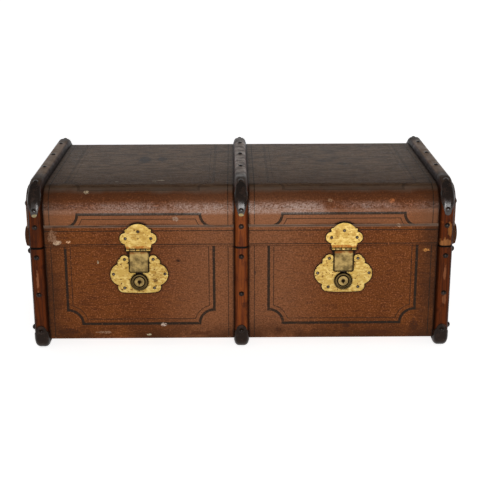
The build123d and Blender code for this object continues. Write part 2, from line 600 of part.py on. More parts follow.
def hinge_leaf(way, first):
    """One leaf: way is +1 for the lid's leaf, -1 for the base's; first is its first knuckle."""
    clear = HINGE_KNUCKLE_RADIUS + LEAF_ROOM
    half = HINGE_WIDTH / 2
    y0, y1 = WALL_Y, WALL_Y + HINGE_LEAF_THICKNESS
    near, far = HINGE_AXIS_Z + way * clear, HINGE_AXIS_Z + way * (clear + HINGE_LEAF)
    leaf = block(-half, half, y0, y1, near, far)
    corners = leaf.edges().filter_by(Axis.Y).group_by(Axis.Z)[-1 if way > 0 else 0]
    leaf = fillet(corners, HINGE_CORNER)
    for x0, x1 in knuckle_spans(hinge_knuckle_ends(), first):
        leaf += rod(HINGE_KNUCKLE_RADIUS, (x0, HINGE_AXIS_Y, HINGE_AXIS_Z), (1, 0, 0), x1 - x0)
        foot = HINGE_AXIS_Z + way * SEAM_GAP / 2
        leaf += block(x0, x1, y0, y1, foot, near)
    return leaf - hinge_pin(HINGE_PIN_RADIUS + PIN_FIT, 0)


def hinge_pin(radius=HINGE_PIN_RADIUS, heads=1):
    """The hinge pin, with a round head at each end."""
    half = HINGE_WIDTH / 2
    pin = rod(radius, (-half, HINGE_AXIS_Y, HINGE_AXIS_Z), (1, 0, 0), 2 * half)
    for side in (-1, 1) if heads else ():
        cap = dome(HINGE_PIN_HEAD, HINGE_PIN_RADIUS)
        pin += set_on(cap, (side * half, HINGE_AXIS_Y, HINGE_AXIS_Z), (side, 0, 0))
    return pin


# ---------------------------------------------------------------- leather handles
def cap_span():
    """Where a cap begins and ends, from the middle of the handle along Y."""
    end = HANDLE_SPAN / 2 + CAP_PLAY + CAP_WALL
    return end - CAP_LENGTH, end


def handle_strap():
    """The strap of the right-hand end: flat in its caps and bowed out between them."""
    wall = BASE_WIDTH / 2
    flat = wall + CAP_PLAY + HANDLE_STRAP_THICKNESS / 2
    grip = flat + HANDLE_BOW
    bend = HANDLE_BEND * tan(atan2(HANDLE_BOW, HANDLE_SLOPE) / 2)
    outer = cap_span()[0] - bend - CAP_PLAY
    inner = outer - HANDLE_SLOPE
    end = HANDLE_SPAN / 2
    route = [(flat, -end), (flat, -outer), (grip, -inner), (grip, inner), (flat, outer), (flat, end)]
    path = FilletPolyline(*[(x, y, HANDLE_Z) for x, y in route], radius=HANDLE_BEND)
    start = Plane(path @ 0, x_dir=(1, 0, 0), z_dir=path % 0)
    section = RectangleRounded(HANDLE_STRAP_THICKNESS, HANDLE_STRAP_HEIGHT, HANDLE_STRAP_ROUND)
    return sweep(start * section, path=path)


def handle_cap():
    """Metal cap over the strap's end: a flanged plate with a raised, open-ended housing."""
    wall = BASE_WIDTH / 2
    mouth, end = cap_span()
    half = HANDLE_STRAP_HEIGHT / 2 + CAP_PLAY + CAP_WALL
    top = wall + 2 * CAP_PLAY + HANDLE_STRAP_THICKNESS + CAP_WALL
    housing = block(wall, top, mouth, end, HANDLE_Z - half, HANDLE_Z + half)
    outer_edges = housing.faces().sort_by(Axis.X)[-1].edges()
    housing = fillet(outer_edges, CAP_WALL)
    reach = half + CAP_FLANGE
    flange = block(wall, wall + CAP_WALL, mouth, end, HANDLE_Z - reach, HANDLE_Z + reach)
    flange = fillet(flange.edges().filter_by(Axis.X), CAP_CORNER)
    room = HANDLE_STRAP_HEIGHT / 2 + CAP_PLAY
    pocket = block(wall, top - CAP_WALL, mouth, end - CAP_WALL, HANDLE_Z - room, HANDLE_Z + room)
    return housing + flange - pocket


def cap_nails():
    """Nails of the right-hand handle's caps: one in each flange."""
    head = dome(SMALL_NAIL_RADIUS, SMALL_NAIL_HEIGHT)
    middle = sum(cap_span()) / 2
    up = HANDLE_STRAP_HEIGHT / 2 + CAP_PLAY + CAP_WALL + CAP_FLANGE / 2
    x = BASE_WIDTH / 2 + CAP_WALL
    spots = [(x, y, HANDLE_Z + z) for y in (-middle, middle) for z in (-up, up)]
    return [set_on(head, spot, (1, 0, 0)) for spot in spots]


# ---------------------------------------------------------------- assembly
def make_base():
    cloth, boards, paper = shells(base_block)
    for x in LOCK_XS.values():
        mortise = Pos(x, 0, 0) * lock_mortise()
        cloth -= mortise
        boards -= mortise
    save("base_covering", [cloth])
    save("base_box", [boards])
    save("base_lining", [paper])
    hoop = base_hoop()
    for name, x in zip(("left", "middle", "right"), HOOP_XS):
        save(f"base_hoop_{name}", [Pos(x, 0, 0) * hoop])
    front_clips = [Pos(x, 0, 0) * base_clip() for x in HOOP_XS]
    save("base_front_clips", front_clips)
    save("base_back_clips", mirrored_front(front_clips))
    nails = [nail for x in HOOP_XS for nail in base_nails(x)]
    save("base_hoop_nails", nails, mirrored_front(nails))
    knob = dome(STUD_RADIUS - STUD_THICKNESS, BUFFER_HEIGHT)
    save("base_end_studs", end_studs(BASE_WIDTH / 2, [SEAM - STUD_DROP, FOOT + BASE_CLIP_NAIL], knob))


def make_lid():
    cloth, boards, paper = shells(lid_block)
    save("lid_covering", [cloth])
    save("lid_box", [boards])
    save("lid_lining", [paper])
    hoop = lid_hoop()
    for name, x in zip(("left", "middle", "right"), HOOP_XS):
        save(f"lid_hoop_{name}", [Pos(x, 0, 0) * hoop])
    front_clips = [Pos(x, 0, 0) * lid_clip() for x in HOOP_XS]
    save("lid_front_clips", front_clips)
    save("lid_back_clips", mirrored_front(front_clips))
    nails = [nail for x in HOOP_XS for nail in lid_front_nails(x)]
    top_nails = [nail for x in HOOP_XS for nail in lid_top_nails(x)]
    save("lid_hoop_nails", nails, top_nails, mirrored_front(nails))
    nail_head = dome(NAIL_RADIUS, NAIL_HEIGHT)
    save("lid_end_studs", end_studs(LID_WIDTH / 2, [LID_TOP - LID_STUD_DROP], nail_head))
    save("lid_rim_front", rim_strip(-1))
    room = HINGE_WIDTH / 2 + HINGE_PIN_RADIUS + RIM_GAP
    notch = block(-room, room, WALL_Y, WALL_Y + RIM_THICKNESS, LID_LOW, LID_LOW + RIM_HEIGHT)
    back_strips = zip(rim_strip(1), (-HINGE_X, HINGE_X))
    save("lid_rim_back", [strip - Pos(x, 0, 0) * notch for strip, x in back_strips])
    save("lid_rim_left", [rim_end(-1)])
    save("lid_rim_right", [rim_end(1)])


def make_locks():
    plate_y = -(WALL_Y + PLATE_THICKNESS)
    crest_y = HASP_AXIS_Y - PLATE_THICKNESS / 2
    lower_nails, upper_nails = [], []
    for side, x in LOCK_XS.items():
        pieces = {
            "lock_plate": lock_plate(), "lock_case": lock_case(), "lock_barrel": barrel_ring(),
            "lock_bolt": bolt(), "key_plug": key_plug(), "hasp": hasp(), "hasp_staple": staple(),
            "hasp_pin": hasp_pin(), "hasp_plate": crest_plate(),
        }
        for name, solid in pieces.items():
            save(f"{name}_{side}", [Pos(x, 0, 0) * solid])
        lower_nails += plate_nails(x, PLATE_NAILS, PLATE_Z, plate_y)
        upper_nails += plate_nails(x, CREST_NAILS, HASP_AXIS_Z, crest_y)
    save("lock_plate_nails", lower_nails)
    save("hasp_plate_nails", upper_nails)


def make_hinges():
    xs = (-HINGE_X, HINGE_X)
    save("hinge_leaves_base", [Pos(x, 0, 0) * hinge_leaf(-1, 0) for x in xs])
    save("hinge_leaves_lid", [Pos(x, 0, 0) * hinge_leaf(1, 1) for x in xs])
    save("hinge_pins", [Pos(x, 0, 0) * hinge_pin() for x in xs])


def make_handles():
    strap = handle_strap()
    cap = handle_cap()
    caps = [cap, mirror(cap, about=Plane.XZ)]
    nails = cap_nails()
    save("handle_strap_right", [strap])
    save("handle_strap_left", [mirror(strap, about=Plane.YZ)])
    save("handle_caps_right", caps)
    save("handle_caps_left", [mirror(c, about=Plane.YZ) for c in caps])
    save("handle_cap_nails", nails, [mirror(nail, about=Plane.YZ) for nail in nails])


os.makedirs("parts", exist_ok=True)
make_base()
make_lid()
make_locks()
make_hinges()
make_handles()
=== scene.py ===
import json
from math import cos, radians, sin

import bmesh
import bpy
from mathutils import Matrix, Vector


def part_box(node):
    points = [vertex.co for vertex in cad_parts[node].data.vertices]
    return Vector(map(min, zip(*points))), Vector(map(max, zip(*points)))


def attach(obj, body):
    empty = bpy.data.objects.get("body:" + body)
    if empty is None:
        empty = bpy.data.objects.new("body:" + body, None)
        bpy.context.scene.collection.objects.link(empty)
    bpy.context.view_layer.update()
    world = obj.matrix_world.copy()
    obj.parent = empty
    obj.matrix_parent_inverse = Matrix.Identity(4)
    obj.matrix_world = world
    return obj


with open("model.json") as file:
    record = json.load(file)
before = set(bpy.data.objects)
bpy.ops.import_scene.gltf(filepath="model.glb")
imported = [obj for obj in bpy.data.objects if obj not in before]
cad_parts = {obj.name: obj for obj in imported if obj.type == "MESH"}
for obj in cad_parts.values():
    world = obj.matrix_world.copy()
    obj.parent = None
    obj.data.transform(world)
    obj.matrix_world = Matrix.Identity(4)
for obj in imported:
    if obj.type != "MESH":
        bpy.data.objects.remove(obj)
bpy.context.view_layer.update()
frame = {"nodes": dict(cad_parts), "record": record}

bl_info = {
    "name": "Cabin trunk dresser",
    "version": (1, 0, 0),
    "blender": (4, 5, 0),
    "location": "View3D > Sidebar > Trunk",
    "description": "Coach lines and finishes for a cloth-covered cabin trunk",
    "category": "Object",
}

# ---------------------------------------------------------------- places, in metres, from the frame
MM = 0.001
BASE_LOW, BASE_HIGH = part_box("base_covering")
LID_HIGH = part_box("lid_covering")[1]
BAND_LOW, BAND_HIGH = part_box("lid_rim_front")
RIGHT_LOW, RIGHT_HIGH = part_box("base_hoop_right")
PLATE_LOW, PLATE_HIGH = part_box("lock_plate_left")
HASP_LOW, HASP_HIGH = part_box("hasp_left")

FRONT = BASE_LOW.y                                   # face of the covering
SEAM = BASE_HIGH.z
HOOP_X = (RIGHT_LOW.x + RIGHT_HIGH.x) / 2            # middle of an outer hoop
HOOP_HALF = (RIGHT_HIGH.x - RIGHT_LOW.x) / 2
LOCK_X = -(PLATE_LOW.x + PLATE_HIGH.x) / 2
LOCK_MIDDLE = (PLATE_LOW.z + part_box("hasp_plate_left")[1].z) / 2
KEY_Z = sum(corner.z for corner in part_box("key_plug_left")) / 2
HASP_HALF = (HASP_HIGH.x - HASP_LOW.x) / 2
HASP_Z = sum(corner.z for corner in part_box("hasp_pin_left")) / 2
LID_BEND = 47 * MM                                   # outer radius of the lid's bends
BEND_Z = LID_HIGH.z - LID_BEND                       # where the lid's front begins to bend
BEND_Y = LID_HIGH.y - LID_BEND

PAINT = 0.1 * MM                                     # how far a painted line stands on the cloth
SUNK = 0.1 * MM                                      # how far it reaches into it
TOUCH = 0.01 * MM                                    # points closer than this are one

CAMERA_PLACE = (-0.0159, -2.4771, SEAM + 0.7066)
CAMERA_LENS, CAMERA_SENSOR = 81.35, 36               # in millimetres
CAMERA_PITCH, CAMERA_YAW, CAMERA_ROLL = 17.27, 0.34, -0.22      # in degrees

SOFTBOX_PLACE, SOFTBOX_AIM = (0.2, -2.7, 0.55), (0.05, -0.2, 0.2)
SOFTBOX_WIDTH, SOFTBOX_HEIGHT, SOFTBOX_WATTS = 1.5, 0.7, 36
FLOOR_SIZE = 120


# ---------------------------------------------------------------- what a user can change
class TrunkLines(bpy.types.PropertyGroup):
    """Sizes of the painted coach lines."""

    broad: bpy.props.FloatProperty(
        name="Broad line", description="Width of the outer line of each panel",
        default=5.8 * MM, min=0.001, max=0.01, subtype="DISTANCE", unit="LENGTH",
    )
    fine: bpy.props.FloatProperty(
        name="Fine line", description="Width of the inner line and of the lines beside the hoops",
        default=1.6 * MM, min=0.0005, max=0.005, subtype="DISTANCE", unit="LENGTH",
    )
    step: bpy.props.FloatProperty(
        name="Step", description="From the middle of the broad line in to the middle of the fine one",
        default=11 * MM, min=0.004, max=0.03, subtype="DISTANCE", unit="LENGTH",
    )
    side: bpy.props.FloatProperty(
        name="Side", description="From a hoop's middle to the broad upright line of a panel",
        default=59.5 * MM, min=0.03, max=0.15, subtype="DISTANCE", unit="LENGTH",
    )
    beside: bpy.props.FloatProperty(
        name="Beside hoops", description="From a hoop's middle to the fine line that runs along it",
        default=28.5 * MM, min=0.02, max=0.05, subtype="DISTANCE", unit="LENGTH",
    )
    foot: bpy.props.FloatProperty(
        name="Foot", description="From the underside of the base up to the lowest broad line",
        default=37 * MM, min=0.01, max=0.1, subtype="DISTANCE", unit="LENGTH",
    )
    notch: bpy.props.FloatProperty(
        name="Notch", description="Radius of the hollow corners of the panels",
        default=32 * MM, min=0.01, max=0.06, subtype="DISTANCE", unit="LENGTH",
    )


class TrunkColours(bpy.types.PropertyGroup):
    """The main colours, as a paint card would give them."""

    cloth: bpy.props.StringProperty(
        name="Cloth", description="Brown coating of the cloth, sRGB hex", default="643511"
    )
    # Darker cloth beside the outer hoops, at the foot and on the ends.
    cloth_dark: bpy.props.StringProperty(
        name="Dark cloth", description="Soiled cloth near the hoops and the foot, sRGB hex",
        default="3a1d09",
    )
    # Dusty cloth on the lid's top, with a painted sheen of the pale backdrop in it.
    dust_and_sheen: bpy.props.StringProperty(
        name="Dust", description="Dulled cloth on the lid's top, sRGB hex", default="80634a"
    )
    wood: bpy.props.StringProperty(
        name="Hoops", description="Stained and varnished wood, sRGB hex", default="6f350f"
    )
    brass: bpy.props.StringProperty(
        name="Brass", description="Stamped lock plates, sRGB hex", default="a58746"
    )
    paint: bpy.props.StringProperty(
        name="Coach lines", description="Black-brown line paint, sRGB hex", default="1b1812"
    )


# ---------------------------------------------------------------- colour and node helpers
def linear(code):
    """An sRGB hex colour as linear red, green, blue and alpha."""
    channels = [int(code[i:i + 2], 16) / 255 for i in (0, 2, 4)]
    return [c / 12.92 if c <= 0.04045 else ((c + 0.055) / 1.055) ** 2.4 for c in channels] + [1.0]


def per(size_mm):
    """Pattern scale for a feature of that size in millimetres, on coordinates in metres."""
    return 1000 / size_mm


MIX_A, MIX_B = 6, 7            # the colour inputs of a Mix node


def feed(tree, value, socket):
    """Give an input socket a value, or a link from another socket or from a node's first output."""
    if isinstance(value, bpy.types.Node):
        value = next(output for output in value.outputs if output.enabled)
    if isinstance(value, bpy.types.NodeSocket):
        tree.links.new(value, socket)
    else:
        socket.default_value = value


def add(tree, kind, inputs=None, **settings):
    """Add one node with its settings; an input takes a value, a socket or another node."""
    made = tree.nodes.new("ShaderNode" + kind)
    for name, value in settings.items():
        setattr(made, name, value)
    for key, value in (inputs or {}).items():
        feed(tree, value, made.inputs[key])
    return made


def blank(name):
    """A material with an empty tree, its object coordinates and its normals."""
    material = bpy.data.materials.new(name)
    material.use_nodes = True
    tree = material.node_tree
    tree.nodes.clear()
    coordinates = add(tree, "TexCoord")
    return material, tree, coordinates.outputs["Object"], coordinates.outputs["Normal"]


def finish_material(tree, bump=None, depth=0.3 * MM, even_gloss=0.5, **sockets):
    """Close a tree with a Principled BSDF: values are set on the shader, patterns are linked.

    depth is the height of the bumps. even_gloss stands in for a pattern of gloss where a viewer
    can't show one.
    """
    shader = add(tree, "BsdfPrincipled", {"Specular IOR Level": even_gloss})
    for key, value in sockets.items():
        feed(tree, value, shader.inputs[key.replace("_", " ")])
    if bump is not None:
        relief = add(tree, "Bump", {"Height": bump, "Strength": 1.0, "Distance": depth})
        tree.links.new(relief.outputs[0], shader.inputs["Normal"])
    add(tree, "OutputMaterial", {"Surface": shader})


def where(tree, *conditions):
    """A mask from 0 to 1: what its conditions give, multiplied.

    A condition is (value, low, high), which rises smoothly from 0 at low to 1 at high, and falls
    where low is above high; (value, low, high, top), which goes to top; a mask; or a number.
    """
    mask = None
    for condition in conditions:
        if isinstance(condition, tuple):
            value, low, high, top = (*condition, 1.0)[:4]
            condition = add(tree, "MapRange", {
                "Value": value, "From Min": low, "From Max": high, "To Max": top,
            }, interpolation_type="SMOOTHSTEP")
        if mask is None:
            mask = condition
        else:
            mask = add(tree, "Math", {0: mask, 1: condition}, operation="MULTIPLY")
    return mask


def coats(tree, colour, *layers):
    """A colour with others laid over it in turn; each colour is sRGB hex or a node.

    A layer is (colour, condition, ...), and shows where its conditions, those of where, allow.
    """
    for above, *conditions in layers:
        mask = where(tree, *conditions)
        below, above = (linear(tone) if isinstance(tone, str) else tone for tone in (colour, above))
        colour = add(tree, "Mix", {0: mask, MIX_A: below, MIX_B: above}, data_type="RGBA")
    return colour


def distance(tree, value, middle=0.0):
    """How far a value is from the middle, either way."""
    offset = add(tree, "Math", {0: value, 1: middle}, operation="SUBTRACT")
    return add(tree, "Math", {0: offset}, operation="ABSOLUTE")


def band_at(tree, value, middle, reach):
    """1 where a value is at the middle, 0 from reach away and smooth between."""
    return where(tree, (distance(tree, value, middle), reach, reach / 2))


def from_hoop(tree, x):
    """Distance across to the middle of the nearest hoop."""
    across = distance(tree, x)
    return add(tree, "Math", {0: across, 1: distance(tree, across, HOOP_X)}, operation="MINIMUM")


def from_lock(tree, x):
    """Distance across to the middle of the nearer lock."""
    return distance(tree, distance(tree, x), LOCK_X)


def streaks(tree, place, sizes_mm, detail=3.0):
    """Noise drawn out along X, Y and Z to these sizes."""
    drawn_out = add(tree, "Mapping", {"Vector": place, "Scale": [per(size) for size in sizes_mm]})
    return add(tree, "TexNoise", {
        "Vector": drawn_out, "Scale": 1.0, "Detail": detail, "Roughness": 0.6,
    })


def shade_and_grime(tree, reach_mm, low, high):
    """1 where other surfaces crowd round, as painted shade and as dirt, and 0 in the open."""
    openness = add(tree, "AmbientOcclusion", {"Distance": reach_mm * MM}, samples=8)
    return where(tree, (openness.outputs["AO"], high, low))


def marked(tree, colour, place, marks, noise, *breaks):
    """A colour with round marks on it, frayed by a noise and broken by more conditions of where.

    A mark is its centre and its radii, in metres, and its colour, sRGB hex.
    """
    ragged = add(tree, "Math", {0: noise, 1: 2.0}, operation="MULTIPLY")
    for centre, radii, tone in marks:
        offset = add(tree, "VectorMath", {0: place, 1: centre}, operation="SUBTRACT")
        inverse = [1 / radius for radius in radii]
        scaled = add(tree, "VectorMath", {0: offset, 1: inverse}, operation="MULTIPLY")
        length = add(tree, "VectorMath", {0: scaled}, operation="LENGTH")
        edge = add(tree, "Math", {0: length.outputs["Value"], 1: ragged}, operation="ADD")
        colour = coats(tree, colour, (tone, (edge, 1.9, 1.6), *breaks))
    return colour


# ---------------------------------------------------------------- finishes
# The scuffs and stains of the covering, as marked takes them.
MARKS = [
    ((-0.398, FRONT, SEAM + 0.009), (0.012, 0.02, 0.007), "b79b7f"),
    ((-0.372, FRONT, SEAM + 0.011), (0.006, 0.02, 0.004), "c79a74"),
    ((0.400, FRONT, SEAM - 0.012), (0.010, 0.02, 0.005), "b0763c"),
    ((-0.331, -0.227, LID_HIGH.z - 0.011), (0.007, 0.006, 0.005), "c0aa8a"),
    ((-0.175, -0.170, LID_HIGH.z), (0.013, 0.005, 0.01), "b09a7c"),
    ((-0.190, -0.175, LID_HIGH.z), (0.006, 0.004, 0.01), "b09a7c"),
    ((-0.270, -0.180, LID_HIGH.z), (0.006, 0.004, 0.01), "a08c74"),
    ((-0.010, -0.236, LID_HIGH.z - 0.026), (0.006, 0.01, 0.005), "c07a50"),
    ((0.323, -0.238, LID_HIGH.z - 0.030), (0.008, 0.01, 0.006), "a05c30"),
    ((0.190, -0.236, LID_HIGH.z - 0.028), (0.007, 0.01, 0.005), "8a6a50"),
    ((-0.311, FRONT, SEAM - 0.036), (0.003, 0.02, 0.005), "a89b7e"),
    ((-0.172, FRONT, BASE_LOW.z + 0.034), (0.008, 0.02, 0.005), "b09a8a"),
    ((-0.205, FRONT, BASE_LOW.z + 0.011), (0.007, 0.02, 0.003), "a89b7e"),
    ((-0.300, FRONT, BASE_LOW.z + 0.017), (0.022, 0.02, 0.004), "84654e"),
    ((-0.140, FRONT, BAND_HIGH.z + 0.017), (0.009, 0.02, 0.006), "8d7462"),
    ((0.338, FRONT, BAND_HIGH.z + 0.001), (0.006, 0.02, 0.005), "a88a70"),
    ((-0.405, FRONT, SEAM + 0.022), (0.012, 0.02, 0.018), "7b5a43"),
    ((-0.136, FRONT, SEAM - 0.034), (0.006, 0.02, 0.004), "24130a"),
    ((0.232, FRONT, BASE_LOW.z + 0.030), (0.012, 0.02, 0.008), "3a1e0e"),
    ((0.080, FRONT, BASE_LOW.z + 0.022), (0.012, 0.02, 0.006), "3a1e0e"),
    ((-0.380, FRONT, BASE_LOW.z + 0.020), (0.030, 0.02, 0.010), "3a1e0e"),
    ((-0.090, FRONT, BASE_LOW.z + 0.014), (0.030, 0.02, 0.006), "47230f"),
    ((0.300, FRONT, BASE_LOW.z + 0.014), (0.040, 0.02, 0.006), "42200e"),
    ((0.030, FRONT, SEAM - 0.062), (0.004, 0.02, 0.006), "3a2418"),
    ((0.380, FRONT, BASE_LOW.z + 0.030), (0.012, 0.02, 0.016), "3a1e0e"),
    ((-0.225, 0.030, LID_HIGH.z), (0.020, 0.036, 0.01), "2f2a28"),
    ((-0.185, 0.034, LID_HIGH.z), (0.016, 0.028, 0.01), "332d2a"),
    ((0.200, 0.010, LID_HIGH.z), (0.030, 0.016, 0.01), "352b25"),
    ((0.240, -0.020, LID_HIGH.z), (0.022, 0.014, 0.01), "2f2722"),
]


def leathercloth(name, colours, lined=0.0):
    """Leathercloth, canvas with a grained brown coating.

    The eye gets a ribbed grain, a broken gloss on the lid's bends with a painted sheen, painted
    shade round the hoops and fittings, darker cloth at the foot, and a dull grey-brown top with a
    painted reflection. lined is how much paint covers it.
    """
    material, tree, place, normal = blank(name)
    axes = add(tree, "SeparateXYZ", {0: place})
    height = axes.outputs["Z"]
    across = distance(tree, axes.outputs["X"])
    facing = add(tree, "SeparateXYZ", {0: normal})
    up = facing.outputs["Z"]
    ends = distance(tree, facing.outputs["X"])

    # The real grain is about 1 mm; it is drawn two to three times coarser, as fine as shows.
    pebble = streaks(tree, place, (3.4, 2.6, 2.6), 2.0)
    ribs = streaks(tree, place, (24, 3.6, 3.6))
    smears = streaks(tree, place, (130, 26, 26), 5.0)
    patches = add(tree, "TexNoise", {
        "Vector": place, "Scale": per(70), "Detail": 4.0, "Roughness": 0.6,
    })

    beside = where(tree, (across, HOOP_X - HOOP_HALF - 60 * MM, HOOP_X - HOOP_HALF, 0.8))
    foot = where(tree, (height, BASE_LOW.z + 60 * MM, BASE_LOW.z, 0.9))
    darkened = add(tree, "Math", {0: beside, 1: foot}, operation="MAXIMUM")
    colour = coats(
        tree, colours.cloth,
        ("52280d", (patches, 0.35, 0.7, 0.45)),
        ("3a1a07", (ribs, 0.52, 0.32, 0.6)),
        ("8a5130", (pebble, 0.54, 0.7, 0.85)),
        # The middle of the trunk is painted paler, a painted pool of light, between dark hollows
        # of the grain.
        ("855a40", (across, 230 * MM, 60 * MM, 0.36)),
        ("3a1a08", (pebble, 0.5, 0.36, 0.4)),
        # Darker beside the outer hoops, at the foot of the base and, more evenly, on the ends.
        (colours.cloth_dark, darkened, (patches, 0.25, 0.6), (ends, 0.95, 0.6)),
        (colours.cloth_dark, (ends, 0.6, 0.9, 0.35)),
        # The bends are darker: painted shade where they turn away from the light.
        ("4e2f20", (up, 0.2, 0.6, 0.6)),
    )

    # The top is dull and drawn out in streaks, its grey partly dusty cloth and partly a painted
    # reflection of the pale backdrop, browner towards the front where less of it is painted, and
    # its edge is ragged.
    drawn = streaks(tree, place, (26, 7, 7), 4.0)
    top_colour = coats(
        tree, "5a4532",
        (colours.dust_and_sheen, (drawn, 0.38, 0.6)),
        ("3a2b20", (patches, 0.5, 0.75, 0.45)),
        ("9a7e5e", (pebble, 0.6, 0.78, 0.45)),
        # Painted reflection: browner towards the front, where less of the backdrop's sheen is
        # painted.
        ("462b17", (axes.outputs["Y"], 0.0, FRONT, 0.6)),
        ("68574b", (up, 0.98, 0.86, 0.8)),
    )
    edge = add(tree, "Math", {0: patches, 1: 0.5}, operation="SUBTRACT")
    edge = add(tree, "Math", {0: edge, 1: 0.35, 2: up}, operation="MULTIPLY_ADD")
    colour = coats(
        tree, colour,
        (top_colour, (edge, 0.66, 0.92)),
        ("2c1c12", beside, 0.4),
        # The lid's front is painted paler above its band, a painted sheen running down from the bend.
        ("8a5c40", (height, BAND_HIGH.z, BAND_HIGH.z + 8 * MM, 0.4), (up, 0.12, 0.02)),
    )
    if lined > 0:
        paint = (colours.paint, (smears, 0.8, 0.62), (pebble, 0.78, 0.62), lined)
        colour = coats(tree, colour, paint)

    frays = add(tree, "TexNoise", {
        "Vector": place, "Scale": per(8), "Detail": 4.0, "Roughness": 0.7,
    })
    colour = marked(tree, colour, place, MARKS, frays, (pebble, 0.3, 0.6))
    by_lock = where(
        tree,
        (from_lock(tree, axes.outputs["X"]), 85 * MM, 65 * MM),
        (distance(tree, height, LOCK_MIDDLE), 90 * MM, 82 * MM),
        (distance(tree, height, BAND_HIGH.z), 2 * MM, 4 * MM),
        (distance(tree, height, SEAM), 3 * MM, 5 * MM),
    )
    # The gloss of the bends is broken by the grain, and is also painted into the colour there as
    # a pale bloom of painted sheen.
    scuffed = where(tree, (pebble, 0.25, 0.6), (patches, 0.75, 0.35, 0.75))
    bend_gloss = where(
        tree, (height, BEND_Z - 13 * MM, BEND_Z - 4 * MM), (up, 0.48, 0.16), (ends, 0.6, 0.3),
        (across, 1.3 * HOOP_X, 0.1 * HOOP_X), scuffed,
    )
    colour = coats(
        tree, colour,
        # Painted shade, with dirt, where other surfaces crowd round: the hoops, nails and plates.
        ("1c0e06", shade_and_grime(tree, 7, 0.62, 0.9)),
        # Along the upper edge of the lid's band a dusty line with a painted highlight of that edge,
        # and round the lock plates painted shadow with black dirt.
        ("7d6656", band_at(tree, height, BAND_HIGH.z + 1 * MM, 3.5 * MM), (smears, 0.3, 0.5, 0.62)),
        ("0f0804", by_lock, shade_and_grime(tree, 7, 0.84, 0.968)),
        # Painted sheen on the bends.
        ("957f72", bend_gloss, 0.5),
    )

    rough = add(tree, "Math", {0: where(tree, (pebble, 0.7, 0.4, 0.22)), 1: 0.34}, operation="ADD")
    # The back of the top has a faint gloss too, and every upright face a little.
    top_gloss = where(tree, (up, 0.6, 0.85), (axes.outputs["Y"], -250 * MM, 150 * MM, 0.05))
    gloss = add(tree, "Math", {0: bend_gloss, 1: top_gloss}, operation="ADD")
    upright = where(tree, (up, 0.85, 0.6, 0.04))
    gloss = add(tree, "Math", {0: gloss, 1: upright}, operation="ADD")
    gloss = add(tree, "Math", {0: gloss, 1: 0.02}, operation="ADD")
    relief = add(tree, "Math", {0: pebble, 1: ribs}, operation="ADD")
    finish_material(tree, relief, 0.8 * MM, 0.06, Base_Color=colour, Roughness=rough,
                    Specular_IOR_Level=gloss)
    return material


# The same for the rubs on the hoops, and then for the clips.
RUBS = [
    ((0.437, FRONT - 0.012, SEAM + 0.008), (0.016, 0.03, 0.012), "a06a3c"),
    ((0.446, FRONT - 0.012, SEAM + 0.038), (0.006, 0.03, 0.020), "96602f"),
    ((0.440, FRONT - 0.012, SEAM - 0.060), (0.004, 0.03, 0.022), "804f33"),
    ((0.441, FRONT - 0.012, SEAM - 0.118), (0.006, 0.03, 0.014), "804f33"),
    ((-0.441, FRONT - 0.012, SEAM - 0.070), (0.004, 0.03, 0.030), "8d5a3c"),
]
WORN_IRON = [
    ((0.0, FRONT - 0.012, LID_HIGH.z - 0.055), (0.008, 0.03, 0.006), "8a7440"),
    ((-0.440, FRONT - 0.012, LID_HIGH.z - 0.054), (0.007, 0.03, 0.004), "7a6a44"),
]


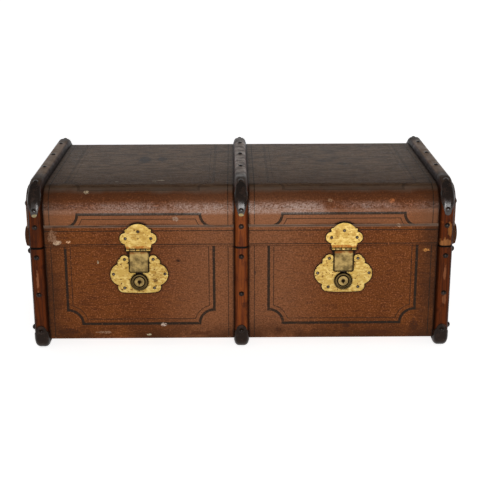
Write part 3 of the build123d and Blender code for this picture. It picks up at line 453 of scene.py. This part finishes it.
def bent_wood(name, colours):
    """Ash or elm hoop, stained red-brown and varnished, then rubbed.

    The eye gets long grain that follows the hoop, painted shade along its edges, over the lid's
    bend and at the seam, and dull grey wear on top with a painted sheen.
    """
    material, tree, place, normal = blank(name)
    axes = add(tree, "SeparateXYZ", {0: place})
    outer = distance(tree, axes.outputs["X"])
    facing = add(tree, "SeparateXYZ", {0: normal})
    up = facing.outputs["Z"]
    grain = streaks(tree, place, (3.2, 70, 70), 4.0)
    patches = add(tree, "TexNoise", {
        "Vector": place, "Scale": per(22), "Detail": 4.0, "Roughness": 0.65,
    })
    near_bend = (distance(tree, axes.outputs["Y"]), BEND_Y - 60 * MM, BEND_Y - 5 * MM, 0.8)

    colour = coats(
        tree, colours.wood,
        ("4a1d08", (grain, 0.42, 0.62, 0.85)),
        ("2b1108", (patches, 0.54, 0.74, 0.7)),
        ("8f4a20", (patches, 0.36, 0.26, 0.8)),
        # The outer hoops are darker, and all have painted shade, with dirt, along their edges, where
        # the round hoop turns from the light.
        ("2b120a", (outer, 200 * MM, 300 * MM, 0.85), (grain, 0.62, 0.44)),
        ("150a06", (from_hoop(tree, axes.outputs["X"]), 10 * MM, 15 * MM, 0.85)),
    )
    # Dull grey wear on the hoops' tops, with a painted sheen of the light at that grazing angle.
    worn = coats(
        tree, "a08a78",
        ("5d4a3e", (patches, 0.38, 0.62)),
        ("8c6f54", (outer, 200 * MM, 300 * MM, 0.8)),
    )
    colour = coats(
        tree, colour,
        (worn, (up, 0.6, 0.93, 0.92)),
        # Painted shade where the hoops turn over the lid's bend.
        ("20130c", near_bend, (up, 0.2, 0.6)),
    )
    frays = streaks(tree, place, (4, 12, 12), 4.0)
    colour = marked(tree, colour, place, RUBS, frays, grain)
    colour = coats(
        tree, colour,
        # Painted shade standing for the gap where the hoops of lid and base meet at the seam.
        ("0a0503", band_at(tree, axes.outputs["Z"], SEAM, 3.2 * MM)),
        # Painted shade, with dirt, round the nails and clips.
        ("120906", shade_and_grime(tree, 5, 0.5, 0.85)),
    )

    rough = add(tree, "Math", {0: where(tree, (patches, 0.3, 0.7, 0.2)), 1: 0.3}, operation="ADD")
    gloss = where(tree, (up, 0.0, 0.4), (facing.outputs["Y"], -0.2, -0.6, 0.35))
    inner = where(tree, (outer, 300 * MM, 200 * MM, 0.04))
    gloss = add(tree, "Math", {0: gloss, 1: inner}, operation="ADD")
    gloss = add(tree, "Math", {0: gloss, 1: 0.03}, operation="ADD")
    finish_material(tree, grain, 0.5 * MM, 0.08, Base_Color=colour, Roughness=rough,
                    Specular_IOR_Level=gloss)
    return material


def black_iron(name):
    """Japanned iron clips, nails and hinges, the black rubbed thin.

    The eye gets a nearly black brown skin with rusty patches, sharp small highlights above and
    a dull one near the floor.
    """
    material, tree, place, _ = blank(name)
    patches = add(tree, "TexNoise", {
        "Vector": place, "Scale": per(12), "Detail": 3.0, "Roughness": 0.5,
    })
    height = add(tree, "SeparateXYZ", {0: place}).outputs["Z"]
    colour = coats(tree, "1c110a", ("35231a", (patches, 0.48, 0.75, 0.8)))
    colour = marked(tree, colour, place, WORN_IRON, patches)
    # Painted shade, with dirt, where the iron meets other parts.
    colour = coats(tree, colour, ("080504", shade_and_grime(tree, 3, 0.4, 0.75)))
    rough = add(tree, "Math", {0: where(tree, (patches, 0.35, 0.7, 0.12)), 1: 0.2}, operation="ADD")
    above = where(tree, (height, BEND_Z - 40 * MM, BEND_Z, 0.43))
    gloss = add(tree, "Math", {0: above, 1: 0.12}, operation="ADD")
    finish_material(tree, patches, 0.03 * MM, 0.3, Base_Color=colour, Roughness=rough,
                    Specular_IOR_Level=gloss)
    return material


# Middles of one lock's small nails: across from its middle and up from its key, in metres.
SMALL_NAILS = [(0.031, 0.0513), (0.056, 0.0178), (0.0325, -0.0142), (0.0, 0.1148), (0.0275, 0.0992)]
# Gaps between the knuckles of a hasp's hinge, across from the lock's middle, in metres.
KNUCKLE_GAPS = (-0.0185, -0.006, 0.004, 0.016)
# Radius and reach in millimetres of the dark rings round a key: its hole and the barrel's steps.
KEY_RINGS = ((0.0, 6.0), (12.2, 2.0), (19.0, 2.6))
# The worst spots on the plates, as marked takes them.
TARNISH = [
    ((-0.250, FRONT, KEY_Z + 0.032), (0.004, 0.02, 0.002), "4a2c14"),
    ((-0.263, FRONT, KEY_Z + 0.006), (0.003, 0.02, 0.002), "4a2c14"),
    ((-0.222, FRONT, KEY_Z + 0.099), (0.003, 0.02, 0.002), "4a2c14"),
    ((-0.186, FRONT, KEY_Z - 0.010), (0.003, 0.02, 0.003), "4a2c14"),
    ((-0.188, FRONT, KEY_Z + 0.003), (0.007, 0.02, 0.006), "4a2c14"),
]


def hinge_shade_and_dirt(tree, place):
    """Painted shade with black dirt below a hasp's hinge and, drawn wider than they are, in the
    gaps of its knuckles.
    """
    axes = add(tree, "SeparateXYZ", {0: place})
    height = axes.outputs["Z"]
    # Both locks are brought to one place, so one set of gaps serves them.
    along = add(tree, "Math", {0: axes.outputs["X"], 1: 0.0, 2: -2 * LOCK_X}, operation="WRAP")
    dirt = band_at(tree, height, HASP_Z - 3.4 * MM, 2.2 * MM)
    for gap in KNUCKLE_GAPS:
        between = where(tree, band_at(tree, along, gap - LOCK_X, 1.6 * MM),
                        band_at(tree, height, HASP_Z, 5 * MM))
        dirt = add(tree, "Math", {0: dirt, 1: between}, operation="MAXIMUM")
    return dirt


def stamped_brass(name, colours):
    """Thin stamped brass, lacquered once and now spotted.

    The eye gets a pale warm yellow with soft brown clouds, small dark spots with rusty rims, a
    rusty band along the hinge, black dirt round the nails, and painted shade, with dirt, at the
    edges of parts and round the hinge.
    """
    material, tree, place, _ = blank(name)
    axes = add(tree, "SeparateXYZ", {0: place})
    height = axes.outputs["Z"]
    cloudy = add(tree, "TexNoise", {
        "Vector": place, "Scale": per(26), "Detail": 4.0, "Roughness": 0.55,
    })
    specks = add(tree, "TexNoise", {
        "Vector": place, "Scale": per(4), "Detail": 1.0, "Roughness": 0.4,
    })
    rubbed = streaks(tree, place, (9, 9, 4), 4.0)
    colour = coats(
        tree, colours.brass,
        ("8e6d33", (cloudy, 0.44, 0.7, 0.8)),
        ("d8c07c", (rubbed, 0.56, 0.36, 0.45)),
        ("7d4a20", (specks, 0.62, 0.69, 0.6)),
        ("3a2414", (specks, 0.68, 0.73, 0.9)),
        ("8a4d1c", band_at(tree, height, HASP_Z + 6 * MM, 4 * MM), (rubbed, 0.35, 0.6, 0.8)),
    )
    colour = marked(tree, colour, place, TARNISH, specks, 0.8)
    flat = add(tree, "CombineXYZ", {0: from_lock(tree, axes.outputs["X"]), 2: height})
    for offset, rise in SMALL_NAILS:
        nail = (offset, 0.0, KEY_Z + rise)
        away = add(tree, "VectorMath", {0: flat, 1: nail}, operation="DISTANCE").outputs["Value"]
        colour = coats(tree, colour, ("1a110b", (away, 4.2 * MM, 2.9 * MM, 0.9)))
    colour = coats(
        tree, colour,
        # Painted shade, with dirt, where parts crowd round, below the hinge and in its knuckles.
        ("1d1109", shade_and_grime(tree, 5, 0.78, 0.97)),
        ("120b07", hinge_shade_and_dirt(tree, place), 0.85),
    )
    rough = add(tree, "Math", {0: where(tree, (cloudy, 0.3, 0.7, 0.2)), 1: 0.33}, operation="ADD")
    finish_material(tree, rubbed, 0.2 * MM, Base_Color=colour, Roughness=rough, Metallic=1.0)
    return material


def dull_brass(name):
    """Brass that hands have dulled: the hasps, barrels and key plugs.

    The eye gets an olive, smoky yellow, rust below the hasp's hinge, painted shadow along the
    hasp's sides and foot, and black rings in the steps of the barrel and round the keyhole.
    """
    material, tree, place, _ = blank(name)
    axes = add(tree, "SeparateXYZ", {0: place})
    height = axes.outputs["Z"]
    across = from_lock(tree, axes.outputs["X"])
    smoke = add(tree, "TexNoise", {
        "Vector": place, "Scale": per(15), "Detail": 5.0, "Roughness": 0.6,
    })
    sides = band_at(tree, across, HASP_HALF, 3 * MM)
    foot = band_at(tree, height, HASP_LOW.z, 3 * MM)
    edges = add(tree, "Math", {0: sides, 1: foot}, operation="MAXIMUM")
    handled = where(tree, band_at(tree, across, 0.0, 16 * MM),
                    band_at(tree, height, HASP_LOW.z + 12 * MM, 20 * MM))
    above_key = add(tree, "Math", {0: height, 1: KEY_Z}, operation="SUBTRACT")
    from_key = add(tree, "CombineXYZ", {0: across, 2: above_key})
    radius = add(tree, "VectorMath", {0: from_key}, operation="LENGTH").outputs["Value"]
    colour = coats(
        tree, "98804f",
        ("5f4e2f", (smoke, 0.38, 0.66)),
        ("804a20", band_at(tree, height, HASP_Z - 7 * MM, 4 * MM), (smoke, 0.3, 0.6, 0.8)),
        # Painted shadow in the gap along the hasp's sides and foot.
        ("1d140b", edges, (smoke, 0.2, 0.5, 0.9)),
        ("463a22", handled, (smoke, 0.3, 0.6, 0.6)),
        ("55462a", band_at(tree, radius, 15.5 * MM, 6 * MM), 0.8),
        *[("1a110a", band_at(tree, radius, at * MM, reach * MM)) for at, reach in KEY_RINGS],
        # Painted shade, with dirt, where other surfaces crowd round.
        ("1d130a", shade_and_grime(tree, 5, 0.3, 0.6)),
        ("120b07", hinge_shade_and_dirt(tree, place), 0.85),
    )
    rough = add(tree, "Math", {0: where(tree, (smoke, 0.3, 0.7, 0.15)), 1: 0.35}, operation="ADD")
    finish_material(tree, smoke, 0.3 * MM, Base_Color=colour, Roughness=rough, Metallic=1.0)
    return material


def lock_steel(name):
    """Grey steel of the lock case, bolt, pins and small nails, browned with age."""
    material, tree, place, _ = blank(name)
    patches = add(tree, "TexNoise", {
        "Vector": place, "Scale": per(5), "Detail": 4.0, "Roughness": 0.6,
    })
    colour = coats(
        tree, "6b6360",
        ("35281f", (patches, 0.4, 0.7)),
        # Painted shade, with dirt, where other surfaces crowd round, as round the nail heads.
        ("0b0705", shade_and_grime(tree, 4, 0.72, 0.97)),
    )
    finish_material(tree, patches, 0.2 * MM, Base_Color=colour, Roughness=0.35, Metallic=1.0)
    return material


def deal_board(name):
    """Unplaned deal, seen on the edges of the boards: straw-brown with darker year lines."""
    material, tree, place, _ = blank(name)
    lines = streaks(tree, place, (90, 4, 4), 4.0)
    colour = coats(tree, "b08a5c", ("8a6238", (lines, 0.4, 0.65)))
    finish_material(tree, lines, 0.3 * MM, Base_Color=colour, Roughness=0.75)
    return material


def lining_paper(name):
    """Lining paper, once cream, browned in clouds and faintly ribbed."""
    material, tree, place, _ = blank(name)
    clouds = add(tree, "TexNoise", {
        "Vector": place, "Scale": per(90), "Detail": 5.0, "Roughness": 0.6,
    })
    fibres = add(tree, "TexNoise", {"Vector": place, "Scale": per(3), "Detail": 2.0})
    colour = coats(
        tree, "c4b38e",
        ("b6a27c", (clouds, 0.35, 0.7)),
        ("8d744f", (fibres, 0.55, 0.75, 0.3)),
        # Painted shade, with browning, into the trunk's corners.
        ("7a6340", shade_and_grime(tree, 40, 0.45, 0.9)),
    )
    finish_material(tree, fibres, 0.2 * MM, Base_Color=colour, Roughness=0.85)
    return material


def harness_leather(name):
    """Thick harness leather of the handles: dark tan, polished on the grip, with a fine pore."""
    material, tree, place, _ = blank(name)
    pores = add(tree, "TexVoronoi", {"Vector": place, "Scale": per(2.2)})
    tone = add(tree, "TexNoise", {"Vector": place, "Scale": per(25), "Detail": 4.0})
    colour = coats(
        tree, "5a3219",
        ("331b0e", (tone, 0.35, 0.7)),
        ("24130a", (pores, 0.25, 0.05, 0.5)),
    )
    finish_material(tree, pores, 0.3 * MM, Base_Color=colour, Roughness=0.5)
    return material


def studio_floor(name):
    """Matt white paper sweep that glows a little, as a lit sweep does."""
    material, tree, place, _ = blank(name)
    tone = add(tree, "TexNoise", {"Vector": place, "Scale": 0.3})
    colour = coats(tree, "f4f3f1", ("efeeec", (tone, 0.0, 1.0, 0.2)))
    finish_material(tree, Base_Color=colour, Roughness=0.9, Emission_Color=linear("ffffff"),
                    Emission_Strength=0.8, Specular_IOR_Level=0.1)
    return material


# ---------------------------------------------------------------- modelling helpers
def only(piece):
    """Select one object alone and make it active, because operators act on all that is selected."""
    if bpy.context.mode != "OBJECT":
        bpy.ops.object.mode_set(mode="OBJECT")
    bpy.ops.object.select_all(action="DESELECT")
    piece.select_set(True)
    bpy.context.view_layer.objects.active = piece
    return piece


def primitive(kind, name, **settings):
    """Add a primitive with everything else deselected, and give it its name."""
    bpy.ops.object.select_all(action="DESELECT")
    getattr(bpy.ops.mesh, f"primitive_{kind}_add")(**settings)
    piece = bpy.context.active_object
    piece.name = name
    return piece


def settle(piece):
    """Put an object's place, turn and scale into its mesh."""
    only(piece)
    bpy.ops.object.transform_apply(location=True, rotation=True, scale=True)
    return piece


def choose(piece, part, test):
    """In edit mode, select the faces or edges that pass a test of their middle and themselves."""
    bpy.ops.mesh.select_mode(type={"faces": "FACE", "edges": "EDGE"}[part])
    bpy.ops.mesh.select_all(action="DESELECT")
    mesh = bmesh.from_edit_mesh(piece.data)
    for item in getattr(mesh, part):
        middle = sum((vert.co for vert in item.verts), Vector()) / len(item.verts)
        if test(middle, item):
            item.select_set(True)
    mesh.select_flush_mode()
    bmesh.update_edit_mesh(piece.data)


def apply_modifier(piece, kind, **settings):
    """Add a modifier, set it and apply it."""
    only(piece)
    modifier = piece.modifiers.new(kind.title(), kind)
    for name, value in settings.items():
        setattr(modifier, name, value)
    bpy.ops.object.modifier_apply(modifier=modifier.name)


def cut_away(piece, cutter):
    """Cut a solid away from a piece and delete it."""
    apply_modifier(piece, "BOOLEAN", operation="DIFFERENCE", solver="EXACT", object=cutter)
    bpy.data.objects.remove(cutter)


def panel_ring(name, centre, half_width, half_height, notch, inset, width):
    """A flat ring, facing up, round a rectangle with hollow corners.

    inset is from the rectangle in to the middle of the ring, and width is the ring's own. The
    corners are hollowed round the rectangle's own corners, so all its rings are concentric there.
    """
    thick = 4 * MM
    outer = inset - width / 2
    piece = primitive("cube", name, size=1, location=centre - Vector((0, 0, thick / 2)))
    piece.scale = (2 * (half_width - outer), 2 * (half_height - outer), thick)
    settle(piece)
    for sx in (-1, 1):
        for sy in (-1, 1):
            corner = centre + Vector((sx * half_width, sy * half_height, 0))
            cutter = primitive("cylinder", "corner", radius=notch + outer, depth=3 * thick,
                               vertices=96, location=corner)
            cut_away(piece, settle(cutter))
    only(piece)
    bpy.ops.object.mode_set(mode="EDIT")
    choose(piece, "faces", lambda middle, face: face.normal.z < 0.9)
    bpy.ops.mesh.delete(type="FACE")
    bpy.ops.mesh.select_all(action="SELECT")
    bpy.ops.mesh.dissolve_limited(angle_limit=radians(0.1), use_dissolve_boundaries=False)
    bpy.ops.mesh.select_all(action="SELECT")
    bpy.ops.mesh.inset(thickness=width, use_even_offset=True)
    bpy.ops.mesh.delete(type="FACE")
    bpy.ops.object.mode_set(mode="OBJECT")
    return piece


def bisect_all(piece, point, normal, clear=False):
    """Cut every face of a piece with a plane, and clear what is past it if asked."""
    only(piece)
    bpy.ops.object.mode_set(mode="EDIT")
    bpy.ops.mesh.select_all(action="SELECT")
    bpy.ops.mesh.bisect(plane_co=point, plane_no=normal, clear_outer=clear)
    bpy.ops.object.mode_set(mode="OBJECT")


def thicken(piece):
    """Give a flat line the thickness of its paint, a little of it sunk in the cloth."""
    apply_modifier(piece, "SOLIDIFY", thickness=PAINT + SUNK,
                   offset=(PAINT - SUNK) / (PAINT + SUNK), use_even_offset=False)


def join(pieces, name):
    """Join pieces of one kind into one object."""
    only(pieces[0])
    for piece in pieces[1:]:
        piece.select_set(True)
    bpy.ops.object.join()
    joined = bpy.context.active_object
    joined.name = name
    return joined


def dress(piece, finish, body):
    """Give a finished piece its material, and the body it rides on."""
    piece.data.materials.clear()
    piece.data.materials.append(FINISHES[finish])
    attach(piece, body)


# ---------------------------------------------------------------- coach lines
def front_panels(name, body, foot, top, notch, level, way, lines):
    """A panel on each half of a front, from foot up to top, a piece for each of its two lines.

    What is past the level is cut off: above it where way is 1, and below it where way is -1.
    """
    for side, half in ((-1, "left"), (1, "right")):
        start, end = sorted((side * lines.side, side * (HOOP_X - lines.side)))
        centre = Vector(((start + end) / 2, (foot + top) / 2, 0))
        size = (end - start) / 2, (top - foot) / 2
        for kind, finish, inset, width in (("broad", "line_paint", 0.0, lines.broad),
                                           ("fine", "thin_paint", lines.step, lines.fine)):
            ring = panel_ring(f"{name}_{half}_{kind}", centre, *size, notch, inset, width)
            bisect_all(ring, (0, level, 0), (0, way, 0), clear=True)
            ring.matrix_world = Matrix.Rotation(radians(90), 4, "X") @ ring.matrix_world
            settle(ring)
            ring.location.y = FRONT
            settle(ring)
            thicken(ring)
            dress(ring, finish, body)


class TRUNK_OT_base_lines(bpy.types.Operator):
    """Paint the coach lines on the front of the base"""

    bl_idname = "trunk.base_lines"
    bl_label = "Base lines"

    def execute(self, context):
        lines = context.scene.trunk_lines
        foot = BASE_LOW.z + lines.foot
        past_seam = SEAM + 2 * lines.notch + lines.step
        front_panels("base_coach_line", "base", foot, past_seam, lines.notch, SEAM, 1, lines)
        return {"FINISHED"}


class TRUNK_OT_lid_front_lines(bpy.types.Operator):
    """Paint the coach lines on the front of the lid, above its edging band"""

    bl_idname = "trunk.lid_front_lines"
    bl_label = "Lid front lines"

    def execute(self, context):
        lines = context.scene.trunk_lines
        past_band = BAND_HIGH.z - 2 * lines.notch - lines.step
        top = BEND_Z - 9 * MM
        front_panels("lid_coach_line", "lid", past_band, top, 0.9 * lines.notch,
                     BAND_HIGH.z, -1, lines)
        return {"FINISHED"}


class TRUNK_OT_lid_top_lines(bpy.types.Operator):
    """Paint the worn coach lines on the top of the lid, down to its bends"""

    bl_idname = "trunk.lid_top_lines"
    bl_label = "Lid top lines"

    def execute(self, context):
        lines = context.scene.trunk_lines
        turn = radians(58)             # where the lines end, as an angle up from the bend's foot
        edge = BEND_Y + LID_BEND * cos(turn)
        steps = 8                      # cuts that let a line follow the bend
        for side, name in ((-1, "left"), (1, "right")):
            middle = Vector((side * HOOP_X / 2, 0, LID_HIGH.z + 2 * MM))
            half = HOOP_X / 2 - lines.side
            rings = [
                panel_ring(name, middle, half, edge, lines.notch, 0.0, lines.broad),
                panel_ring(name, middle, half, edge, lines.notch, lines.step, lines.fine),
            ]
            piece = join(rings, f"lid_top_line_{name}")
            for step in range(steps + 1):
                level = BEND_Y + LID_BEND * sin(radians(90) - turn) * step / steps
                for way in (-1, 1):
                    bisect_all(piece, (0, way * level, 0), (0, 1, 0))
            apply_modifier(piece, "SHRINKWRAP", target=frame["nodes"]["lid_covering"],
                           wrap_method="PROJECT", use_project_z=True, use_negative_direction=True,
                           use_positive_direction=False)
            thicken(piece)
            dress(piece, "faded_paint", "lid")
        return {"FINISHED"}


def strip(name, x, z0, z1, y, width):
    """A flat upright strip that faces the front."""
    piece = primitive("plane", name, size=1, location=(x, y, (z0 + z1) / 2),
                      rotation=(radians(90), 0, 0))
    piece.scale = (width, z1 - z0, 1)
    return settle(piece)


def over_lid(piece):
    """Carry a strip on the lid's front over the bend, along the top and down the back."""
    only(piece)
    bpy.ops.object.mode_set(mode="EDIT")
    spin = {"steps": 16, "angle": radians(90), "axis": (1, 0, 0), "dupli": False}
    choose(piece, "edges", lambda middle, edge: middle.z > BEND_Z - TOUCH)
    bpy.ops.mesh.spin(center=(0, -BEND_Y, BEND_Z), **spin)
    choose(piece, "edges", lambda middle, edge: middle.y > -BEND_Y - TOUCH)
    bpy.ops.mesh.extrude_edges_move(TRANSFORM_OT_translate={"value": (0, 2 * BEND_Y, 0)})
    choose(piece, "edges", lambda middle, edge: middle.y > BEND_Y - TOUCH)
    bpy.ops.mesh.spin(center=(0, BEND_Y, BEND_Z), **spin)
    choose(piece, "edges", lambda middle, edge: middle.y > BEND_Y + LID_BEND - TOUCH)
    bpy.ops.mesh.extrude_edges_move(TRANSFORM_OT_translate={"value": (0, 0, BAND_HIGH.z - BEND_Z)})
    bpy.ops.mesh.select_all(action="SELECT")
    bpy.ops.mesh.remove_doubles(threshold=TOUCH)
    bpy.ops.mesh.normals_make_consistent(inside=False)
    bpy.ops.object.mode_set(mode="OBJECT")


class TRUNK_OT_hoop_lines(bpy.types.Operator):
    """Paint the fine lines that run beside the hoops, up the base and over the lid"""

    bl_idname = "trunk.hoop_lines"
    bl_label = "Hoop lines"

    def execute(self, context):
        lines = context.scene.trunk_lines
        outer = HOOP_X - lines.beside
        foot = BASE_LOW.z + 7 * MM
        for name, x in (("left_outer", -outer), ("left_inner", -lines.beside),
                        ("right_inner", lines.beside), ("right_outer", outer)):
            low = strip(f"base_hoop_line_{name}", x, foot, SEAM, FRONT, lines.fine)
            thicken(low)
            dress(low, "thin_paint", "base")
            high = strip(f"lid_hoop_line_{name}", x, BAND_HIGH.z, BEND_Z, FRONT, lines.fine)
            over_lid(high)
            thicken(high)
            dress(high, "thin_paint", "lid")
        return {"FINISHED"}


class TRUNK_OT_band_lines(bpy.types.Operator):
    """Paint the two fine lines along the lid's edging band"""

    bl_idname = "trunk.band_lines"
    bl_label = "Band lines"

    def execute(self, context):
        lines = context.scene.trunk_lines
        gap = 1 * MM
        start, end = HOOP_HALF + gap, HOOP_X - HOOP_HALF - gap
        levels = (BAND_HIGH.z - 9 * MM, BAND_LOW.z + 3.5 * MM)
        for side, name in ((-1, "left"), (1, "right")):
            strips = [
                strip("line", side * (start + end) / 2, z - lines.fine / 2, z + lines.fine / 2,
                      BAND_LOW.y, end - start)
                for z in levels
            ]
            piece = join(strips, f"band_line_{name}")
            thicken(piece)
            dress(piece, "line_paint", "lid")
        return {"FINISHED"}


# ---------------------------------------------------------------- finishes of the frame's own nodes
FINISHES = {}


class TRUNK_OT_finishes(bpy.types.Operator):
    """Make the finishes and give each part of the trunk its own"""

    bl_idname = "trunk.finishes"
    bl_label = "Finishes"

    def execute(self, context):
        colours = context.scene.trunk_colours
        FINISHES.update({
            "leathercloth": leathercloth("leathercloth", colours),
            "line_paint": leathercloth("line_paint", colours, 0.9),
            "thin_paint": leathercloth("thin_paint", colours, 0.75),
            "faded_paint": leathercloth("faded_paint", colours, 0.32),
            "deal_board": deal_board("deal_board"),
            "lining_paper": lining_paper("lining_paper"),
            "bent_wood": bent_wood("bent_wood", colours),
            "black_iron": black_iron("black_iron"),
            "stamped_brass": stamped_brass("stamped_brass", colours),
            "dull_brass": dull_brass("dull_brass"),
            "lock_steel": lock_steel("lock_steel"),
            "handle_leather": harness_leather("handle_leather"),
        })
        for part in frame["record"]["subparts"]:
            node = frame["nodes"][part["node"]]
            node.data.materials.clear()
            node.data.materials.append(FINISHES[part["material_slot"]])
        return {"FINISHED"}


# ---------------------------------------------------------------- stage
class TRUNK_OT_stage(bpy.types.Operator):
    """Set the pale floor, the soft lights and the camera"""

    bl_idname = "trunk.stage"
    bl_label = "Stage"

    def execute(self, context):
        scene = context.scene
        scene.view_settings.view_transform = "Standard"
        floor = primitive("plane", "floor", size=FLOOR_SIZE)
        floor.data.materials.append(studio_floor("studio_floor"))

        world = bpy.data.worlds.new("studio")
        scene.world = world
        world.use_nodes = True
        tree = world.node_tree
        tree.nodes.clear()
        # A white wall behind the trunk, dim walls in front and a dimmer ceiling.
        direction = add(tree, "TexCoord")
        way = add(tree, "SeparateXYZ", {0: direction.outputs["Generated"]})
        colour = coats(
            tree, "6f6f6f",
            ("ffffff", (way.outputs["Y"], -0.1, 0.5)),
            ("707070", (way.outputs["Z"], 0.35, 0.8)),
        )
        background = add(tree, "Background", {"Color": colour, "Strength": 1.0})
        add(tree, "OutputWorld", {"Surface": background})

        # One broad soft light round the camera.
        data = bpy.data.lights.new("softbox", "AREA")
        data.shape = "RECTANGLE"
        data.size, data.size_y = SOFTBOX_WIDTH, SOFTBOX_HEIGHT
        data.energy = SOFTBOX_WATTS
        key = bpy.data.objects.new("softbox", data)
        scene.collection.objects.link(key)
        aim = (Vector(SOFTBOX_AIM) - Vector(SOFTBOX_PLACE)).to_track_quat("-Z", "Y")
        key.matrix_world = Matrix.Translation(SOFTBOX_PLACE) @ aim.to_matrix().to_4x4()

        camera_data = bpy.data.cameras.new("camera")
        camera_data.sensor_width = CAMERA_SENSOR
        camera_data.lens = CAMERA_LENS
        camera = bpy.data.objects.new("camera", camera_data)
        scene.collection.objects.link(camera)
        pitch, yaw, roll = radians(CAMERA_PITCH), radians(CAMERA_YAW), radians(CAMERA_ROLL)
        ahead = Vector((sin(yaw), cos(yaw), 0))
        right = Vector((cos(yaw), -sin(yaw), 0))
        forward = cos(pitch) * ahead - sin(pitch) * Vector((0, 0, 1))
        up = sin(pitch) * ahead + cos(pitch) * Vector((0, 0, 1))
        across = cos(roll) * right + sin(roll) * up
        upward = -sin(roll) * right + cos(roll) * up
        turn = Matrix((across, upward, -forward)).transposed().to_4x4()
        camera.matrix_world = Matrix.Translation(CAMERA_PLACE) @ turn
        scene.camera = camera
        return {"FINISHED"}


# ---------------------------------------------------------------- panel and registration
STEPS = [
    "finishes", "base_lines", "lid_front_lines", "lid_top_lines", "hoop_lines", "band_lines", "stage",
]


class TRUNK_PT_panel(bpy.types.Panel):
    """Sizes, colours and steps of the trunk"""

    bl_idname = "TRUNK_PT_panel"
    bl_label = "Cabin trunk"
    bl_space_type = "VIEW_3D"
    bl_region_type = "UI"
    bl_category = "Trunk"

    def draw(self, context):
        for group in (context.scene.trunk_lines, context.scene.trunk_colours):
            for name in group.bl_rna.properties.keys():
                if name not in ("rna_type", "name"):
                    self.layout.prop(group, name)
        for step in STEPS:
            self.layout.operator(f"trunk.{step}")


CLASSES = [
    TrunkLines, TrunkColours, TRUNK_OT_finishes, TRUNK_OT_base_lines, TRUNK_OT_lid_front_lines,
    TRUNK_OT_lid_top_lines, TRUNK_OT_hoop_lines, TRUNK_OT_band_lines, TRUNK_OT_stage, TRUNK_PT_panel,
]


def register():
    for cls in CLASSES:
        bpy.utils.register_class(cls)
    bpy.types.Scene.trunk_lines = bpy.props.PointerProperty(type=TrunkLines)
    bpy.types.Scene.trunk_colours = bpy.props.PointerProperty(type=TrunkColours)


def unregister():
    del bpy.types.Scene.trunk_colours
    del bpy.types.Scene.trunk_lines
    for cls in reversed(CLASSES):
        bpy.utils.unregister_class(cls)


def main():
    """Build everything in order."""
    register()
    for step in STEPS:
        getattr(bpy.ops.trunk, step)()


if __name__ == "__main__":
    main()
